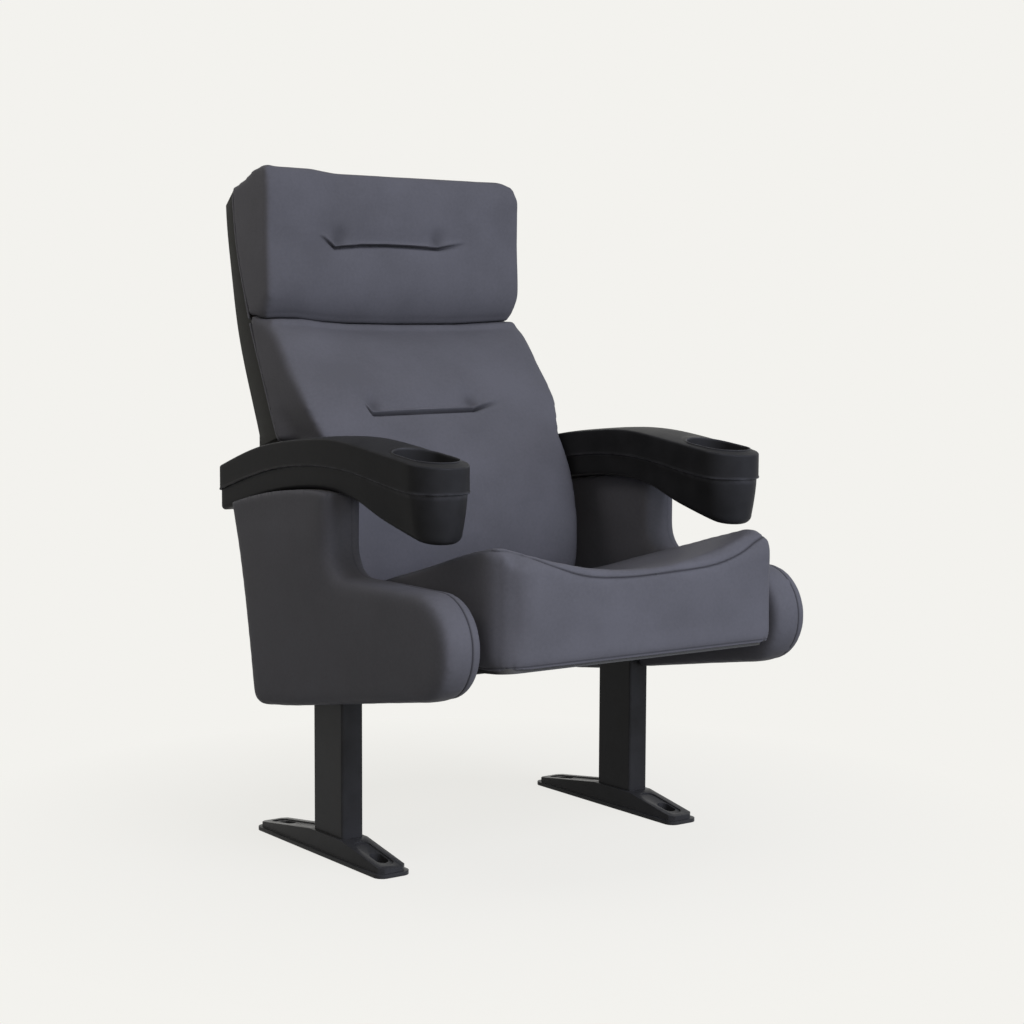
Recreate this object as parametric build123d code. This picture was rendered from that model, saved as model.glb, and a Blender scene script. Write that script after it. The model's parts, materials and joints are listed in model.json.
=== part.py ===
"""Cinema recliner seat: two floor standards with armrests, a gliding seat and a leaning back.

Frame: +Z up, the chair faces -Y, +X is to the right of a viewer who stands in front of it
and looks along +Y.  The model is built with y = 0 at the columns, and moved by ORIGIN_Y at
the end, so that the origin is the middle of the floor area that the whole seat covers.
"""

import os
from math import atan2, copysign, cos, degrees, radians, sin, sqrt

from build123d import *

# ---------------------------------------------------------------- driving dimensions, mm

SEAT_FRONT = -400.0      # frontmost point of the seat, from the column centres
SHELL_REAR = 418.0       # rearmost point of the back
ORIGIN_Y = (SEAT_FRONT + SHELL_REAR) / 2
SEAT_HALF = 256.0        # half the cushion's width
CLEAR = 0.3              # between a soft part and its neighbour
FIT = 0.05               # radial, shaft in its hole
BEYOND = 600.0           # further out than any piece, for solids that only cut

# standards
COLUMN_W = 38.0          # across, along X
SEAT_TO_COLUMN = 10.0
STANDARD_X = SEAT_HALF + SEAT_TO_COLUMN + COLUMN_W / 2
COLUMN_D = 86.0          # fore and aft, along Y
COLUMN_WALL = 3.0
COLUMN_TOP = 392.0
FOOT_W = 60.0
FOOT_FRONT = -166.0
FOOT_REAR = 214.0
FOOT_RIM_H = 6.0
FOOT_TOP = 34.0
FOOT_TOE_H = 13.0        # height of the casting at its front and rear ends
FOOT_BODY_W = 48.0
FOOT_WALL = 5.0
ANCHOR_FRONT_Y = -118.0  # centres of the floor bolt slots
ANCHOR_REAR_Y = 160.0
ANCHOR_R = 5.5
ANCHOR_SLOT = 26.0       # end to end
ANCHOR_PAD = 8.0         # thickness left under the bolt head
ANCHOR_RECESS_W = 20.0
ANCHOR_RECESS_L = 36.0
FOOT_GROOVE_W = 26.0     # shallow round-ended panel sunk into each slope
FOOT_GROOVE_DEEP = 2.0
FOOT_GROOVE_IN = 12.0    # from the slope's ends

# bolts of the columns: half their pitch along Y, and heights
PLATE_BOLT_Y = 28.0
PLATE_BOLT_Z = (316.0, 372.0)
PANEL_BOLT_Y = 26.0
PANEL_BOLT_Z = (285.0, 350.0)

# side plates, cross tubes and seat channels
PLATE_T = 5.0
PLATE_EDGE = 26.0        # from the pivot's centre to the plate's edge
PLATE_WEB_TOP = 372.0    # the plate's arm to the pivot, where it leaves the column
PLATE_WEB_LOW = 262.0
SEAT_TILT = 5.0          # degrees, front up: the way the seat glides
PAN_Z = 300.0            # underside of the pan above the column centres
PAN_T = 8.0
TUBE_D = 30.0
TUBE_H = 14.0
TUBE_WALL = 2.0
TUBE_FRONT_U = -100.0    # tube centres along the glide direction
TUBE_REAR_U = -34.0
CHANNEL_X = 150.0
CHANNEL_W = 34.0
CHANNEL_H = 12.0
CHANNEL_GAP = 2.0        # channel lips to the pan
CHANNEL_WALL = 2.0
CHANNEL_SLOT = 18.0
CHANNEL_FRONT = -150.0
CHANNEL_REAR = 50.0
RUNNER_FLANGE_W = 24.0
RUNNER_FLANGE_T = 3.0
RUNNER_WEB = 10.0
RUNNER_FRONT = -142.0
RUNNER_REAR = 28.0
GLIDE_L = 30.0
GLIDE_T = 3.0
GLIDE_U = (-120.0, -20.0)
BUFFER_L = 10.0

# side panels
SEAT_TO_PANEL = 22.0
PANEL_IN = SEAT_HALF + SEAT_TO_PANEL
PANEL_T = 68.0
PANEL_FRONT = -386.0
PANEL_NOSE_TOP = 447.0
PANEL_NOSE_BOTTOM = 291.0
PANEL_STEM_FRONT = -64.0
PANEL_REAR_TOP = 222.0     # rear edge, at the height below
PANEL_REAR_TOP_Z = 529.0
PANEL_REAR_BOTTOM = 147.0
PANEL_BOTTOM_REAR = 219.5
PANEL_EDGE_R = 14.0
SCOOP_R = 46.0
CORE_T = 18.0
CORE_INSET = 22.0

# armrests
ARM_IN = 1.0             # the armrest's middle stands in from the column's
ARM_X = STANDARD_X - ARM_IN
ARM_CREST = 652.0
ARM_HALF_FRONT = 49.0
ARM_HALF_REAR = 40.0
ARM_REAR = 316.0
ARM_END_Y = -264.0       # centre of the round front end
ARM_CAP_H = 43.0         # crest to the parting line
ARM_DEPTH = 79.5         # crest to the underside
ARM_STEP = 3.0           # the casing stands in from the cap
ARM_WALL = 3.0
ARM_NOSE_IN = 10.0       # the casing's round end narrows by this down to its underside
ARM_NOSE_START = -150.0  # and begins to narrow here
CUP_R = 38.0             # at the crest's height
CUP_FLOOR_R = 32.0
CUP_FRONT_Y = -264.0
CUP_REAR_Y = -221.0
CUP_WALL = 2.5
CUP_FLOOR = 556.0
ARM_SCREW_Y = (-20.0, 60.0, 140.0)
ARM_SCREW_R = 3.0
ARM_SCREW_L = 34.0

# outlines of the armrest: (y, height below the crest)
ARM_TOP_LINE = [(307, -59), (173, -22), (30, -4), (-50, 0), (-200, -14.5), (-335, -27)]
ARM_PART_LINE = [(297, -54), (184, -24.5), (0, 0), (-118, -3), (-260, -21), (-335, -23.5)]
ARM_BOTTOM_LINE = [
    (283.5, -48.5), (150, -17.5), (0, 0), (-60, -0.5), (-190, -28.5), (-285, -55.5), (-335, -58),
]

# seat
SEAT_REAR = 60.0
SEAT_WING_TOP = 514.0
SEAT_DISH = 35.0
SEAT_DISH_HALF = 205.0
SEAT_CORNER_R = 26.0
PAN_INSET = 6.0
# top of the side wings: (y, height below the highest point)
SEAT_WING_LINE = [(60, -103), (-31, -87), (-70, -75), (-191, -42), (-316, -6), (-352, 0), (-386, -12)]

# back
HEAD_OVER_SEAT = 1.0     # the headrest stands out from the seat on each side
HEAD_HALF = SEAT_HALF + HEAD_OVER_SEAT
HEAD_TOP = 1080.0
HEAD_CORNER_R = 24.0
HEAD_CREASE = 829.0
BACK_BOTTOM = 345.0
CREASE_GAP = 1.0
SHELL_IN = 6.0           # the shell's side stands in from the cushion's side
SHELL_T = 4.0
SHELL_TOP = 1050.0
BOARD_T = 10.0
BOARD_TOP = 1030.0
BAR_T = 6.0
BAR_IN = 43.0            # from the headrest's side to the inner face of a side bar
BAR_X = HEAD_HALF - BAR_IN
BAR_D = 28.0
BAR_TOP = 860.0
BACK_TUBE_R = 10.0
BACK_TUBE_Z = (430.0, 660.0, 840.0)
# how far the back stands in from the headrest on each side: (height, inset)
BACK_IN = [(345, 20), (500, 19), (640, 18.5), (660, 12), (690, 3.5), (730, 0), (800, 0)]
# side outlines of the back: (y, z)
BACK_FRONT_LINE = [
    (90, 345), (71, 385), (60, 435), (60, 490), (69, 543), (90, 600), (119, 648), (147, 695),
    (168, 723), (203, 763), (262, HEAD_CREASE - 9), (283, HEAD_CREASE),
]
HEAD_FRONT_LINE = [
    (286, HEAD_CREASE + CREASE_GAP), (267, 862), (265, 930), (266, 1020), (270, 1066), (276, 1080),
]
BOARD_LINE = [
    (186, 345), (190, 440), (203, 540), (240, 636), (256, 667), (299, 756), (332, 827), (353, 885),
    (373, 945), (387, 1029), (389, 1050),
]
SHELL_LINE = [
    (250, 345), (255, 430), (270, 520), (302, 629), (317, 665), (350, 739), (378, 814), (393, 876),
    (404, 930), (414, 985), (SHELL_REAR, 1024),
]

# screws of the shell
SHELL_SCREW_X = 150.0
SHELL_SCREWS = [(x, z) for x in (-SHELL_SCREW_X, SHELL_SCREW_X) for z in (BACK_TUBE_Z[0], BACK_TUBE_Z[-1])]

# back pivot
PIVOT_Y = 228.0
PIVOT_Z = 500.0
PIVOT_R = 8.0
HOUSING_R = 22.0
SPRING_R = 15.0
HOUSING_L = 11.0
PIVOT_FLANGE_R = 12.0
PIVOT_NUT_L = 8.0
PIVOT_BOSS_R = 20.0

# synchro links
LINK_UPPER = (165.0, 322.0)
LINK_LOWER = (42.0, 270.0)
LINK_IN = 14.0           # from the side bar to the link
LINK_X = BAR_X - LINK_IN
LINK_T = 6.0
LINK_W = 18.0
LINK_PIN_R = 5.0
LINK_SLACK = 2.0         # radial, at the lower end of the link
LINK_BRACKET_T = 6.0

# fasteners
BOLT_R = 4.0
BOLT_HEAD_R = 7.5
BOLT_HEAD_T = 3.0
SCREW_R = 2.5
SCREW_HEAD_R = 5.0
SCREW_HEAD_T = 2.5

# ---------------------------------------------------------------- helpers


def polygon_solid(points, x_low, x_high, radius=0.0):
    """Solid from a polygon in (y, z), its corners rounded, from x_low to x_high."""
    outline = Plane.YZ * Polyline(*points, close=True)
    face = make_face(outline)
    if radius:
        face = fillet(face.vertices(), radius)
    return Pos(x_low, 0, 0) * extrude(face, amount=x_high - x_low, dir=(1, 0, 0))


def box(x_low, x_high, y_low, y_high, z_low, z_high):
    """Box between its low and high corners."""
    size = (x_high - x_low, y_high - y_low, z_high - z_low)
    centre = ((x_high + x_low) / 2, (y_high + y_low) / 2, (z_high + z_low) / 2)
    return Pos(*centre) * Box(*size)


def rod_x(y, z, radius, x_low, x_high):
    """Cylinder along X."""
    return Pos((x_low + x_high) / 2, y, z) * Rot(0, 90, 0) * Cylinder(radius, x_high - x_low)


def ring_x(y, z, outer, inner, x_low, x_high):
    """Tube along X."""
    return rod_x(y, z, outer, x_low, x_high) - rod_x(y, z, inner, x_low - 1, x_high + 1)


def rod_z(x, y, radius, z_low, z_high):
    """Cylinder along Z."""
    return Pos(x, y, (z_low + z_high) / 2) * Cylinder(radius, z_high - z_low)


def rod_y(x, z, radius, y_low, y_high):
    """Cylinder along Y."""
    return Pos(x, (y_low + y_high) / 2, z) * Rot(90, 0, 0) * Cylinder(radius, y_high - y_low)


def on_line(line, height):
    """Value of a rising (height, value) outline at a height, between its points."""
    for low, high in zip(line, line[1:]):
        if low[0] <= height <= high[0]:
            share = (height - low[0]) / (high[0] - low[0])
            return low[1] + share * (high[1] - low[1])
    return line[0][1] if height < line[0][0] else line[-1][1]


def crossing(curve, axis, value):
    """Point of a side-view curve where its coordinate along an axis has a value."""
    low, high = 0.0, 1.0
    rising = (curve @ 1).dot(axis.direction) > (curve @ 0).dot(axis.direction)
    while high - low > 1e-6:
        middle = (low + high) / 2
        if ((curve @ middle).dot(axis.direction) < value) == rising:
            low = middle
        else:
            high = middle
    return curve @ low


def mirrored(solid):
    """The same piece on the left side."""
    return mirror(solid, about=Plane.YZ)


def tilted(solid):
    """From the glide frame (y along the glide, z off the pan's underside) to the row frame."""
    return Pos(0, 0, PAN_Z) * Rot(-SEAT_TILT, 0, 0) * solid


def tilted_point(y, z):
    """A (y, z) point of the glide frame in the row frame."""
    a = radians(SEAT_TILT)
    return (y * cos(a) + z * sin(a), PAN_Z - y * sin(a) + z * cos(a))


# ---------------------------------------------------------------- standards

COLUMN_IN = STANDARD_X - COLUMN_W / 2
COLUMN_OUT = STANDARD_X + COLUMN_W / 2
PLATE_IN = COLUMN_IN - PLATE_T
PLATE_BOLTS = [(y, z) for y in (-PLATE_BOLT_Y, PLATE_BOLT_Y) for z in PLATE_BOLT_Z]
PANEL_BOLTS = [(y, z) for y in (-PANEL_BOLT_Y, PANEL_BOLT_Y) for z in PANEL_BOLT_Z]


def foot():
    length = FOOT_REAR - FOOT_FRONT
    middle = (FOOT_REAR + FOOT_FRONT) / 2
    rim = Pos(STANDARD_X, middle) * extrude(RectangleRounded(FOOT_W, length, 16), FOOT_RIM_H)
    in_from_rim = (FOOT_W - FOOT_BODY_W) / 2
    half = COLUMN_D / 2 + 4
    slope = [
        (FOOT_FRONT + in_from_rim, 0),
        (FOOT_FRONT + in_from_rim, FOOT_TOE_H),
        (-half, FOOT_TOP),
        (half, FOOT_TOP),
        (FOOT_REAR - in_from_rim, FOOT_TOE_H),
        (FOOT_REAR - in_from_rim, 0),
    ]
    low, high = STANDARD_X - FOOT_BODY_W / 2, STANDARD_X + FOOT_BODY_W / 2
    body = polygon_solid(slope, low, high)
    body = chamfer(body.edges().filter_by(Axis.Z), 8)
    hollow = [(y + FOOT_WALL * (1 if y < 0 else -1), z - FOOT_WALL if z else -1) for y, z in slope]
    solid = rim + body - polygon_solid(hollow, low + FOOT_WALL, high - FOOT_WALL)
    lowered = polygon_solid([(y, z - FOOT_GROOVE_DEEP if z else z) for y, z in slope], low, high)
    for y, end in ((ANCHOR_FRONT_Y, slope[0][0]), (ANCHOR_REAR_Y, slope[-1][0])):
        block = box(low, high, y - ANCHOR_RECESS_L / 2 - 6, y + ANCHOR_RECESS_L / 2 + 6, 0, FOOT_TOP)
        solid += block & body
        groove_l = abs(end) - half - 2 * FOOT_GROOVE_IN
        groove = extrude(SlotOverall(groove_l, FOOT_GROOVE_W, 90), FOOT_TOP)
        solid -= Pos(STANDARD_X, (end + copysign(half, end)) / 2, 0) * groove - lowered
        recess = extrude(SlotOverall(ANCHOR_RECESS_L, ANCHOR_RECESS_W, 90), FOOT_TOP)
        solid -= Pos(STANDARD_X, y, ANCHOR_PAD) * recess
        slot = extrude(SlotOverall(ANCHOR_SLOT, 2 * ANCHOR_R, 90), FOOT_TOP)
        solid -= Pos(STANDARD_X, y, -1) * slot
    return solid


def column():
    outer = extrude(RectangleRounded(COLUMN_W, COLUMN_D, 4), COLUMN_TOP - FOOT_TOP)
    bore_size = (COLUMN_W - 2 * COLUMN_WALL, COLUMN_D - 2 * COLUMN_WALL)
    inner = extrude(Rectangle(*bore_size), COLUMN_TOP - FOOT_TOP)
    solid = Pos(STANDARD_X, 0, FOOT_TOP) * (outer - inner)
    for y, z in PLATE_BOLTS:
        solid -= rod_x(y, z, BOLT_R + FIT, COLUMN_IN - 1, COLUMN_IN + COLUMN_WALL + 1)
    for y, z in PANEL_BOLTS:
        solid -= rod_x(y, z, BOLT_R + FIT, COLUMN_OUT - COLUMN_WALL - 1, COLUMN_OUT + 1)
    return solid


def side_plate():
    rail_low = -CHANNEL_GAP - CHANNEL_H - TUBE_H
    nose = TUBE_FRONT_U - TUBE_D / 2 - PLATE_T
    half = COLUMN_D / 2
    top = COLUMN_TOP - PLATE_T
    leg = [
        tilted_point(nose, rail_low),
        tilted_point(nose, rail_low + TUBE_H + PLATE_T),
        (-half, PLATE_BOLT_Z[0] + 2 * BOLT_HEAD_R),
        (-half, top),
        (half, top),
        (2 * half, PLATE_WEB_TOP),
        (3 * half, PLATE_WEB_TOP + PLATE_EDGE),
        (PIVOT_Y - 2 * PLATE_EDGE, PIVOT_Z - 2 * PLATE_EDGE),
        (PIVOT_Y - PLATE_EDGE, PIVOT_Z),
        (PIVOT_Y, PIVOT_Z + PLATE_EDGE),
        (PIVOT_Y + PLATE_EDGE, PIVOT_Z),
        (PIVOT_Y + PLATE_EDGE, PIVOT_Z - 2 * PLATE_EDGE),
        (3.5 * half, PIVOT_Z - 6 * PLATE_EDGE),
        (half, PLATE_WEB_LOW),
    ]
    solid = polygon_solid(leg, PLATE_IN, COLUMN_IN, radius=6)
    for y, z in PLATE_BOLTS:
        solid -= rod_x(y, z, BOLT_R + FIT, PLATE_IN - 1, COLUMN_IN + 1)
    return solid - rod_x(PIVOT_Y, PIVOT_Z, SPRING_R, PLATE_IN - 1, COLUMN_IN + 1)


def plate_bolts():
    solids = []
    for y, z in PLATE_BOLTS:
        shank = rod_x(y, z, BOLT_R, PLATE_IN - 1, COLUMN_IN + COLUMN_WALL + 6)
        solids.append(shank + rod_x(y, z, BOLT_HEAD_R, PLATE_IN - BOLT_HEAD_T, PLATE_IN))
    return solids


def cross_tube(u):
    low = -CHANNEL_GAP - CHANNEL_H - TUBE_H
    outer = box(-PLATE_IN, PLATE_IN, u - TUBE_D / 2, u + TUBE_D / 2, low, low + TUBE_H)
    w = TUBE_WALL
    inner = box(
        -PLATE_IN, PLATE_IN, u - TUBE_D / 2 + w, u + TUBE_D / 2 - w, low + w, low + TUBE_H - w
    )
    return tilted(outer - inner)


# ---------------------------------------------------------------- seat channels and runners

RUNNER_SCREW_U = (RUNNER_FRONT + RUNNER_FLANGE_W, RUNNER_REAR - RUNNER_FLANGE_W)
RUNNER_SCREW_LOW = RUNNER_FLANGE_T - RUNNER_WEB
CHANNEL_LOW = -CHANNEL_GAP - CHANNEL_H
GLIDE_LOW = CHANNEL_LOW + CHANNEL_WALL
FLANGE_LOW = GLIDE_LOW + GLIDE_T + 0.1


def channel():
    half = CHANNEL_W / 2
    outer = box(
        CHANNEL_X - half, CHANNEL_X + half, CHANNEL_FRONT, CHANNEL_REAR,
        CHANNEL_LOW, -CHANNEL_GAP,
    )
    half -= CHANNEL_WALL
    inner = box(
        CHANNEL_X - half, CHANNEL_X + half, CHANNEL_FRONT - 1, CHANNEL_REAR + 1,
        GLIDE_LOW, -CHANNEL_GAP - CHANNEL_WALL,
    )
    half = CHANNEL_SLOT / 2
    slot = box(
        CHANNEL_X - half, CHANNEL_X + half, CHANNEL_FRONT - 1, CHANNEL_REAR + 1,
        GLIDE_LOW, 1,
    )
    return tilted(outer - inner - slot)


def glides():
    half = RUNNER_FLANGE_W / 2
    solids = []
    for x in (-CHANNEL_X, CHANNEL_X):
        for u in GLIDE_U:
            front, rear = u - GLIDE_L / 2, u + GLIDE_L / 2
            pad = box(x - half, x + half, front, rear, GLIDE_LOW, GLIDE_LOW + GLIDE_T)
            solids.append(tilted(pad))
    return solids


def runner():
    half = RUNNER_FLANGE_W / 2
    flange = box(
        CHANNEL_X - half, CHANNEL_X + half, RUNNER_FRONT, RUNNER_REAR,
        FLANGE_LOW, FLANGE_LOW + RUNNER_FLANGE_T,
    )
    half = RUNNER_WEB / 2
    web = box(CHANNEL_X - half, CHANNEL_X + half, RUNNER_FRONT, RUNNER_REAR, FLANGE_LOW, 0)
    solid = flange + web
    for u in RUNNER_SCREW_U:
        solid -= rod_z(CHANNEL_X, u, SCREW_R, RUNNER_SCREW_LOW, 1)
    return tilted(solid)


def runner_screws():
    solids = []
    for x in (-CHANNEL_X, CHANNEL_X):
        for u in RUNNER_SCREW_U:
            shank = rod_z(x, u, SCREW_R, RUNNER_SCREW_LOW, PAN_T)
            head = rod_z(x, u, SCREW_HEAD_R, PAN_T - SCREW_HEAD_T, PAN_T)
            solids.append(tilted(shank + head))
    return solids


def seat_buffers():
    half = RUNNER_FLANGE_W / 2
    start = RUNNER_REAR + CLEAR
    solids = []
    for x in (-CHANNEL_X, CHANNEL_X):
        top = -CHANNEL_GAP - CHANNEL_WALL
        block = box(x - half, x + half, start, start + BUFFER_L, GLIDE_LOW, top)
        solids.append(tilted(block))
    return solids


# ---------------------------------------------------------------- side panels and armrests


def arm_curve(line, height):
    """An armrest outline as a curve in the side view."""
    return Spline(*[(y, height + drop) for y, drop in line])


ARM_PART = ARM_CREST - ARM_CAP_H
ARM_BOTTOM = ARM_CREST - ARM_DEPTH


def arm_face(inset, nose_in):
    """The armrest's plan: tapered to the rear, round at the front."""
    front, rear = ARM_HALF_FRONT - inset, ARM_HALF_REAR - inset
    end = ARM_REAR - inset
    nose = front - nose_in
    outline = Polyline(
        (-nose, ARM_END_Y), (-front, ARM_NOSE_START), (-rear, end),
        (rear, end), (front, ARM_NOSE_START), (nose, ARM_END_Y),
    )
    tip = ThreePointArc((nose, ARM_END_Y), (0, ARM_END_Y - nose), (-nose, ARM_END_Y))
    return Pos(ARM_X, 0, 0) * make_face(outline + tip)


def arm_plan(inset):
    """Upright solid over the armrest's plan."""
    return extrude(arm_face(inset, 0), ARM_CREST + 10)


def casing_plan(inset):
    """The same for the casing, whose round end narrows downward."""
    low = ARM_BOTTOM + ARM_BOTTOM_LINE[-1][1] - ARM_WALL
    high = ARM_PART + ARM_PART_LINE[-1][1]
    narrow = Pos(0, 0, low) * arm_face(inset, ARM_NOSE_IN)
    wide = Pos(0, 0, high) * arm_face(inset, 0)
    nose = loft([narrow, wide], ruled=True)
    return nose + extrude(wide, ARM_CREST - high)


def arm_band(upper, upper_z, lower, lower_z):
    """Solid between two outlines, wider than the armrest."""
    top = arm_curve(upper, upper_z)
    low = arm_curve(lower, lower_z)
    edges = [top, Line(top @ 1, low @ 1), low, Line(low @ 0, top @ 0)]
    face = make_face(Plane.YZ * (Curve() + edges))
    low_x = ARM_X - 2 * ARM_HALF_FRONT
    return Pos(low_x, 0, 0) * extrude(face, amount=4 * ARM_HALF_FRONT, dir=(1, 0, 0))


def cup_solid(wall):
    """Slot-shaped well that narrows to its floor, with or without its wall."""
    low, high = CUP_FLOOR - wall, ARM_CREST + 1
    length = CUP_REAR_Y - CUP_FRONT_Y
    middle = (CUP_REAR_Y + CUP_FRONT_Y) / 2
    floor = Pos(ARM_X, middle, low) * SlotCenterToCenter(length, 2 * (CUP_FLOOR_R + wall), 90)
    mouth = Pos(ARM_X, middle, high) * SlotCenterToCenter(length, 2 * (CUP_R + wall), 90)
    return loft([floor, mouth], ruled=True)


def arm_cap():
    band = arm_band(ARM_TOP_LINE, ARM_CREST, ARM_PART_LINE, ARM_PART)
    under = arm_band(ARM_TOP_LINE, ARM_CREST - ARM_WALL, ARM_PART_LINE, ARM_PART - ARM_WALL)
    skin = (band & arm_plan(0)) - (under & arm_plan(ARM_STEP + ARM_WALL))
    below_top = band + arm_band(ARM_PART_LINE, ARM_PART, ARM_BOTTOM_LINE, ARM_BOTTOM)
    well = cup_solid(CUP_WALL) & below_top
    return skin + well - cup_solid(0.0)


def arm_casing():
    band = arm_band(ARM_PART_LINE, ARM_PART, ARM_BOTTOM_LINE, ARM_BOTTOM)
    inside = arm_band(ARM_PART_LINE, ARM_PART + 1, ARM_BOTTOM_LINE, ARM_BOTTOM + ARM_WALL)
    solid = (band & casing_plan(ARM_STEP)) - (inside & casing_plan(ARM_STEP + ARM_WALL))
    for y in ARM_SCREW_Y:
        solid -= rod_z(CORE_MID, y, ARM_SCREW_R, ARM_BOTTOM - 40, ARM_BOTTOM + 20)
        solid -= rod_z(CORE_MID, y, 2 * ARM_SCREW_R, arm_screw_seat(y), ARM_BOTTOM + 20)
    return solid


def arm_screw_seat(y):
    """Where a screw head sits in the floor of the casing."""
    return crossing(arm_curve(ARM_BOTTOM_LINE, ARM_BOTTOM), Axis.X, y).Y + ARM_WALL / 2


CORE_IN = COLUMN_OUT
CORE_MID = CORE_IN + CORE_T / 2


def arm_screws():
    solids = []
    for y in ARM_SCREW_Y:
        seat = arm_screw_seat(y)
        shank = rod_z(CORE_MID, y, ARM_SCREW_R, seat - ARM_SCREW_L, seat)
        solids.append(shank + rod_z(CORE_MID, y, 2 * ARM_SCREW_R, seat, seat + ARM_SCREW_R))
    return solids


def panel_outline(inset):
    """Closed side outline of the panel or, with an inset, of its core board."""
    nose_r = (PANEL_NOSE_TOP - PANEL_NOSE_BOTTOM) / 2 - inset
    nose_y = PANEL_FRONT + inset + nose_r
    nose_z = (PANEL_NOSE_TOP + PANEL_NOSE_BOTTOM) / 2
    top = nose_z + nose_r
    stem = PANEL_STEM_FRONT + inset
    scoop = SCOOP_R + inset
    slope = atan2(PANEL_NOSE_BOTTOM - PANEL_BOTTOM_REAR, PANEL_REAR_BOTTOM - nose_y)
    rear_low = (PANEL_REAR_BOTTOM - inset, PANEL_BOTTOM_REAR + inset)
    nose_low = (nose_y - nose_r * sin(slope), nose_z - nose_r * cos(slope))
    rear_high = (PANEL_REAR_TOP - inset, PANEL_REAR_TOP_Z)
    return {
        "nose_start": nose_low, "nose_mid": (nose_y - nose_r, nose_z), "nose_end": (nose_y, top),
        "scoop_start": (stem - scoop, top), "scoop_end": (stem, top + scoop),
        "scoop_mid": (stem - scoop * (1 - sin(radians(45))), top + scoop * (1 - cos(radians(45)))),
        "stem": stem, "rear_low": rear_low, "rear_high": rear_high,
    }


def panel_solid(inset, top_gap, x_low, x_high, corner, edge_r=0.0):
    """The panel's solid: the side outline below the armrest's underside."""
    o = panel_outline(inset)
    high = ARM_CREST
    rear_top_y = o["rear_low"][0] + (high - o["rear_low"][1]) * (
        (o["rear_high"][0] - o["rear_low"][0]) / (o["rear_high"][1] - o["rear_low"][1])
    )
    edges = [
        Line(o["rear_low"], o["nose_start"]),
        ThreePointArc(o["nose_start"], o["nose_mid"], o["nose_end"]),
        Line(o["nose_end"], o["scoop_start"]),
        ThreePointArc(o["scoop_start"], o["scoop_mid"], o["scoop_end"]),
        Line(o["scoop_end"], (o["stem"], high)),
        Line((o["stem"], high), (rear_top_y, high)),
        Line((rear_top_y, high), o["rear_low"]),
    ]
    face = make_face(Plane.YZ * (Curve() + edges))
    low_corner = face.vertices().sort_by(Axis.Z)[0]
    face = fillet(low_corner, corner)
    solid = Pos(x_low, 0, 0) * extrude(face, amount=x_high - x_low, dir=(1, 0, 0))
    if edge_r:
        sides = solid.faces().filter_by(Axis.X)
        solid = fillet(sides.edges(), edge_r)
    lid = arm_curve(ARM_BOTTOM_LINE, ARM_BOTTOM - top_gap)
    above = Polyline(lid @ 1, ((lid @ 1).X, 2 * high), ((lid @ 0).X, 2 * high), lid @ 0)
    cover = make_face(Plane.YZ * (Curve() + [lid, above]))
    return solid - Pos(x_low - 5, 0, 0) * extrude(cover, amount=x_high - x_low + 10, dir=(1, 0, 0))


def panel_core():
    solid = panel_solid(CORE_INSET, 0.0, CORE_IN, CORE_IN + CORE_T, 8)
    for y, z in PANEL_BOLTS:
        solid -= rod_x(y, z, BOLT_R + FIT, CORE_IN - 1, CORE_IN + CORE_T + 1)
        solid -= rod_x(y, z, BOLT_HEAD_R + FIT, CORE_IN + CORE_T - BOLT_HEAD_T, CORE_IN + CORE_T + 1)
    for y in ARM_SCREW_Y:
        solid -= rod_z(CORE_MID, y, ARM_SCREW_R, ARM_BOTTOM - 80, ARM_BOTTOM + 20)
    return solid


def panel_bolts():
    solids = []
    for y, z in PANEL_BOLTS:
        shank = rod_x(y, z, BOLT_R, COLUMN_OUT - COLUMN_WALL - 6, CORE_IN + CORE_T - 1)
        solids.append(shank + rod_x(y, z, BOLT_HEAD_R, CORE_IN + CORE_T - BOLT_HEAD_T, CORE_IN + CORE_T))
    return solids


def panel_pad():
    solid = panel_solid(0.0, CLEAR, PANEL_IN, PANEL_IN + PANEL_T, 24, PANEL_EDGE_R)
    core = panel_solid(CORE_INSET - CLEAR, -5.0, CORE_IN - CLEAR, CORE_IN + CORE_T + CLEAR, 8)
    half = COLUMN_D / 2 + CLEAR
    notch = box(PANEL_IN - 1, COLUMN_OUT + CLEAR, -half, half, 0, COLUMN_TOP + CLEAR)
    return solid - core - notch


# ---------------------------------------------------------------- seat


def pan_plate(grown):
    """The pan's plate before its holes, grown on its sides and top, and down through the skirt."""
    low, high = SEAT_FRONT + PAN_INSET - grown, SEAT_REAR - PAN_INSET + grown
    half = SEAT_HALF - PAN_INSET + grown
    outline = RectangleRounded(2 * half, high - low, SEAT_CORNER_R + grown)
    return Pos(0, (low + high) / 2, -4 * grown) * extrude(outline, PAN_T + 5 * grown)


def seat_pan():
    solid = pan_plate(0.0)
    for x in (-CHANNEL_X, CHANNEL_X):
        for u in RUNNER_SCREW_U:
            solid -= rod_z(x, u, SCREW_R, -1, PAN_T + 1)
            solid -= rod_z(x, u, SCREW_HEAD_R, PAN_T - SCREW_HEAD_T, PAN_T + 1)
    return tilted(solid)


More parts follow.
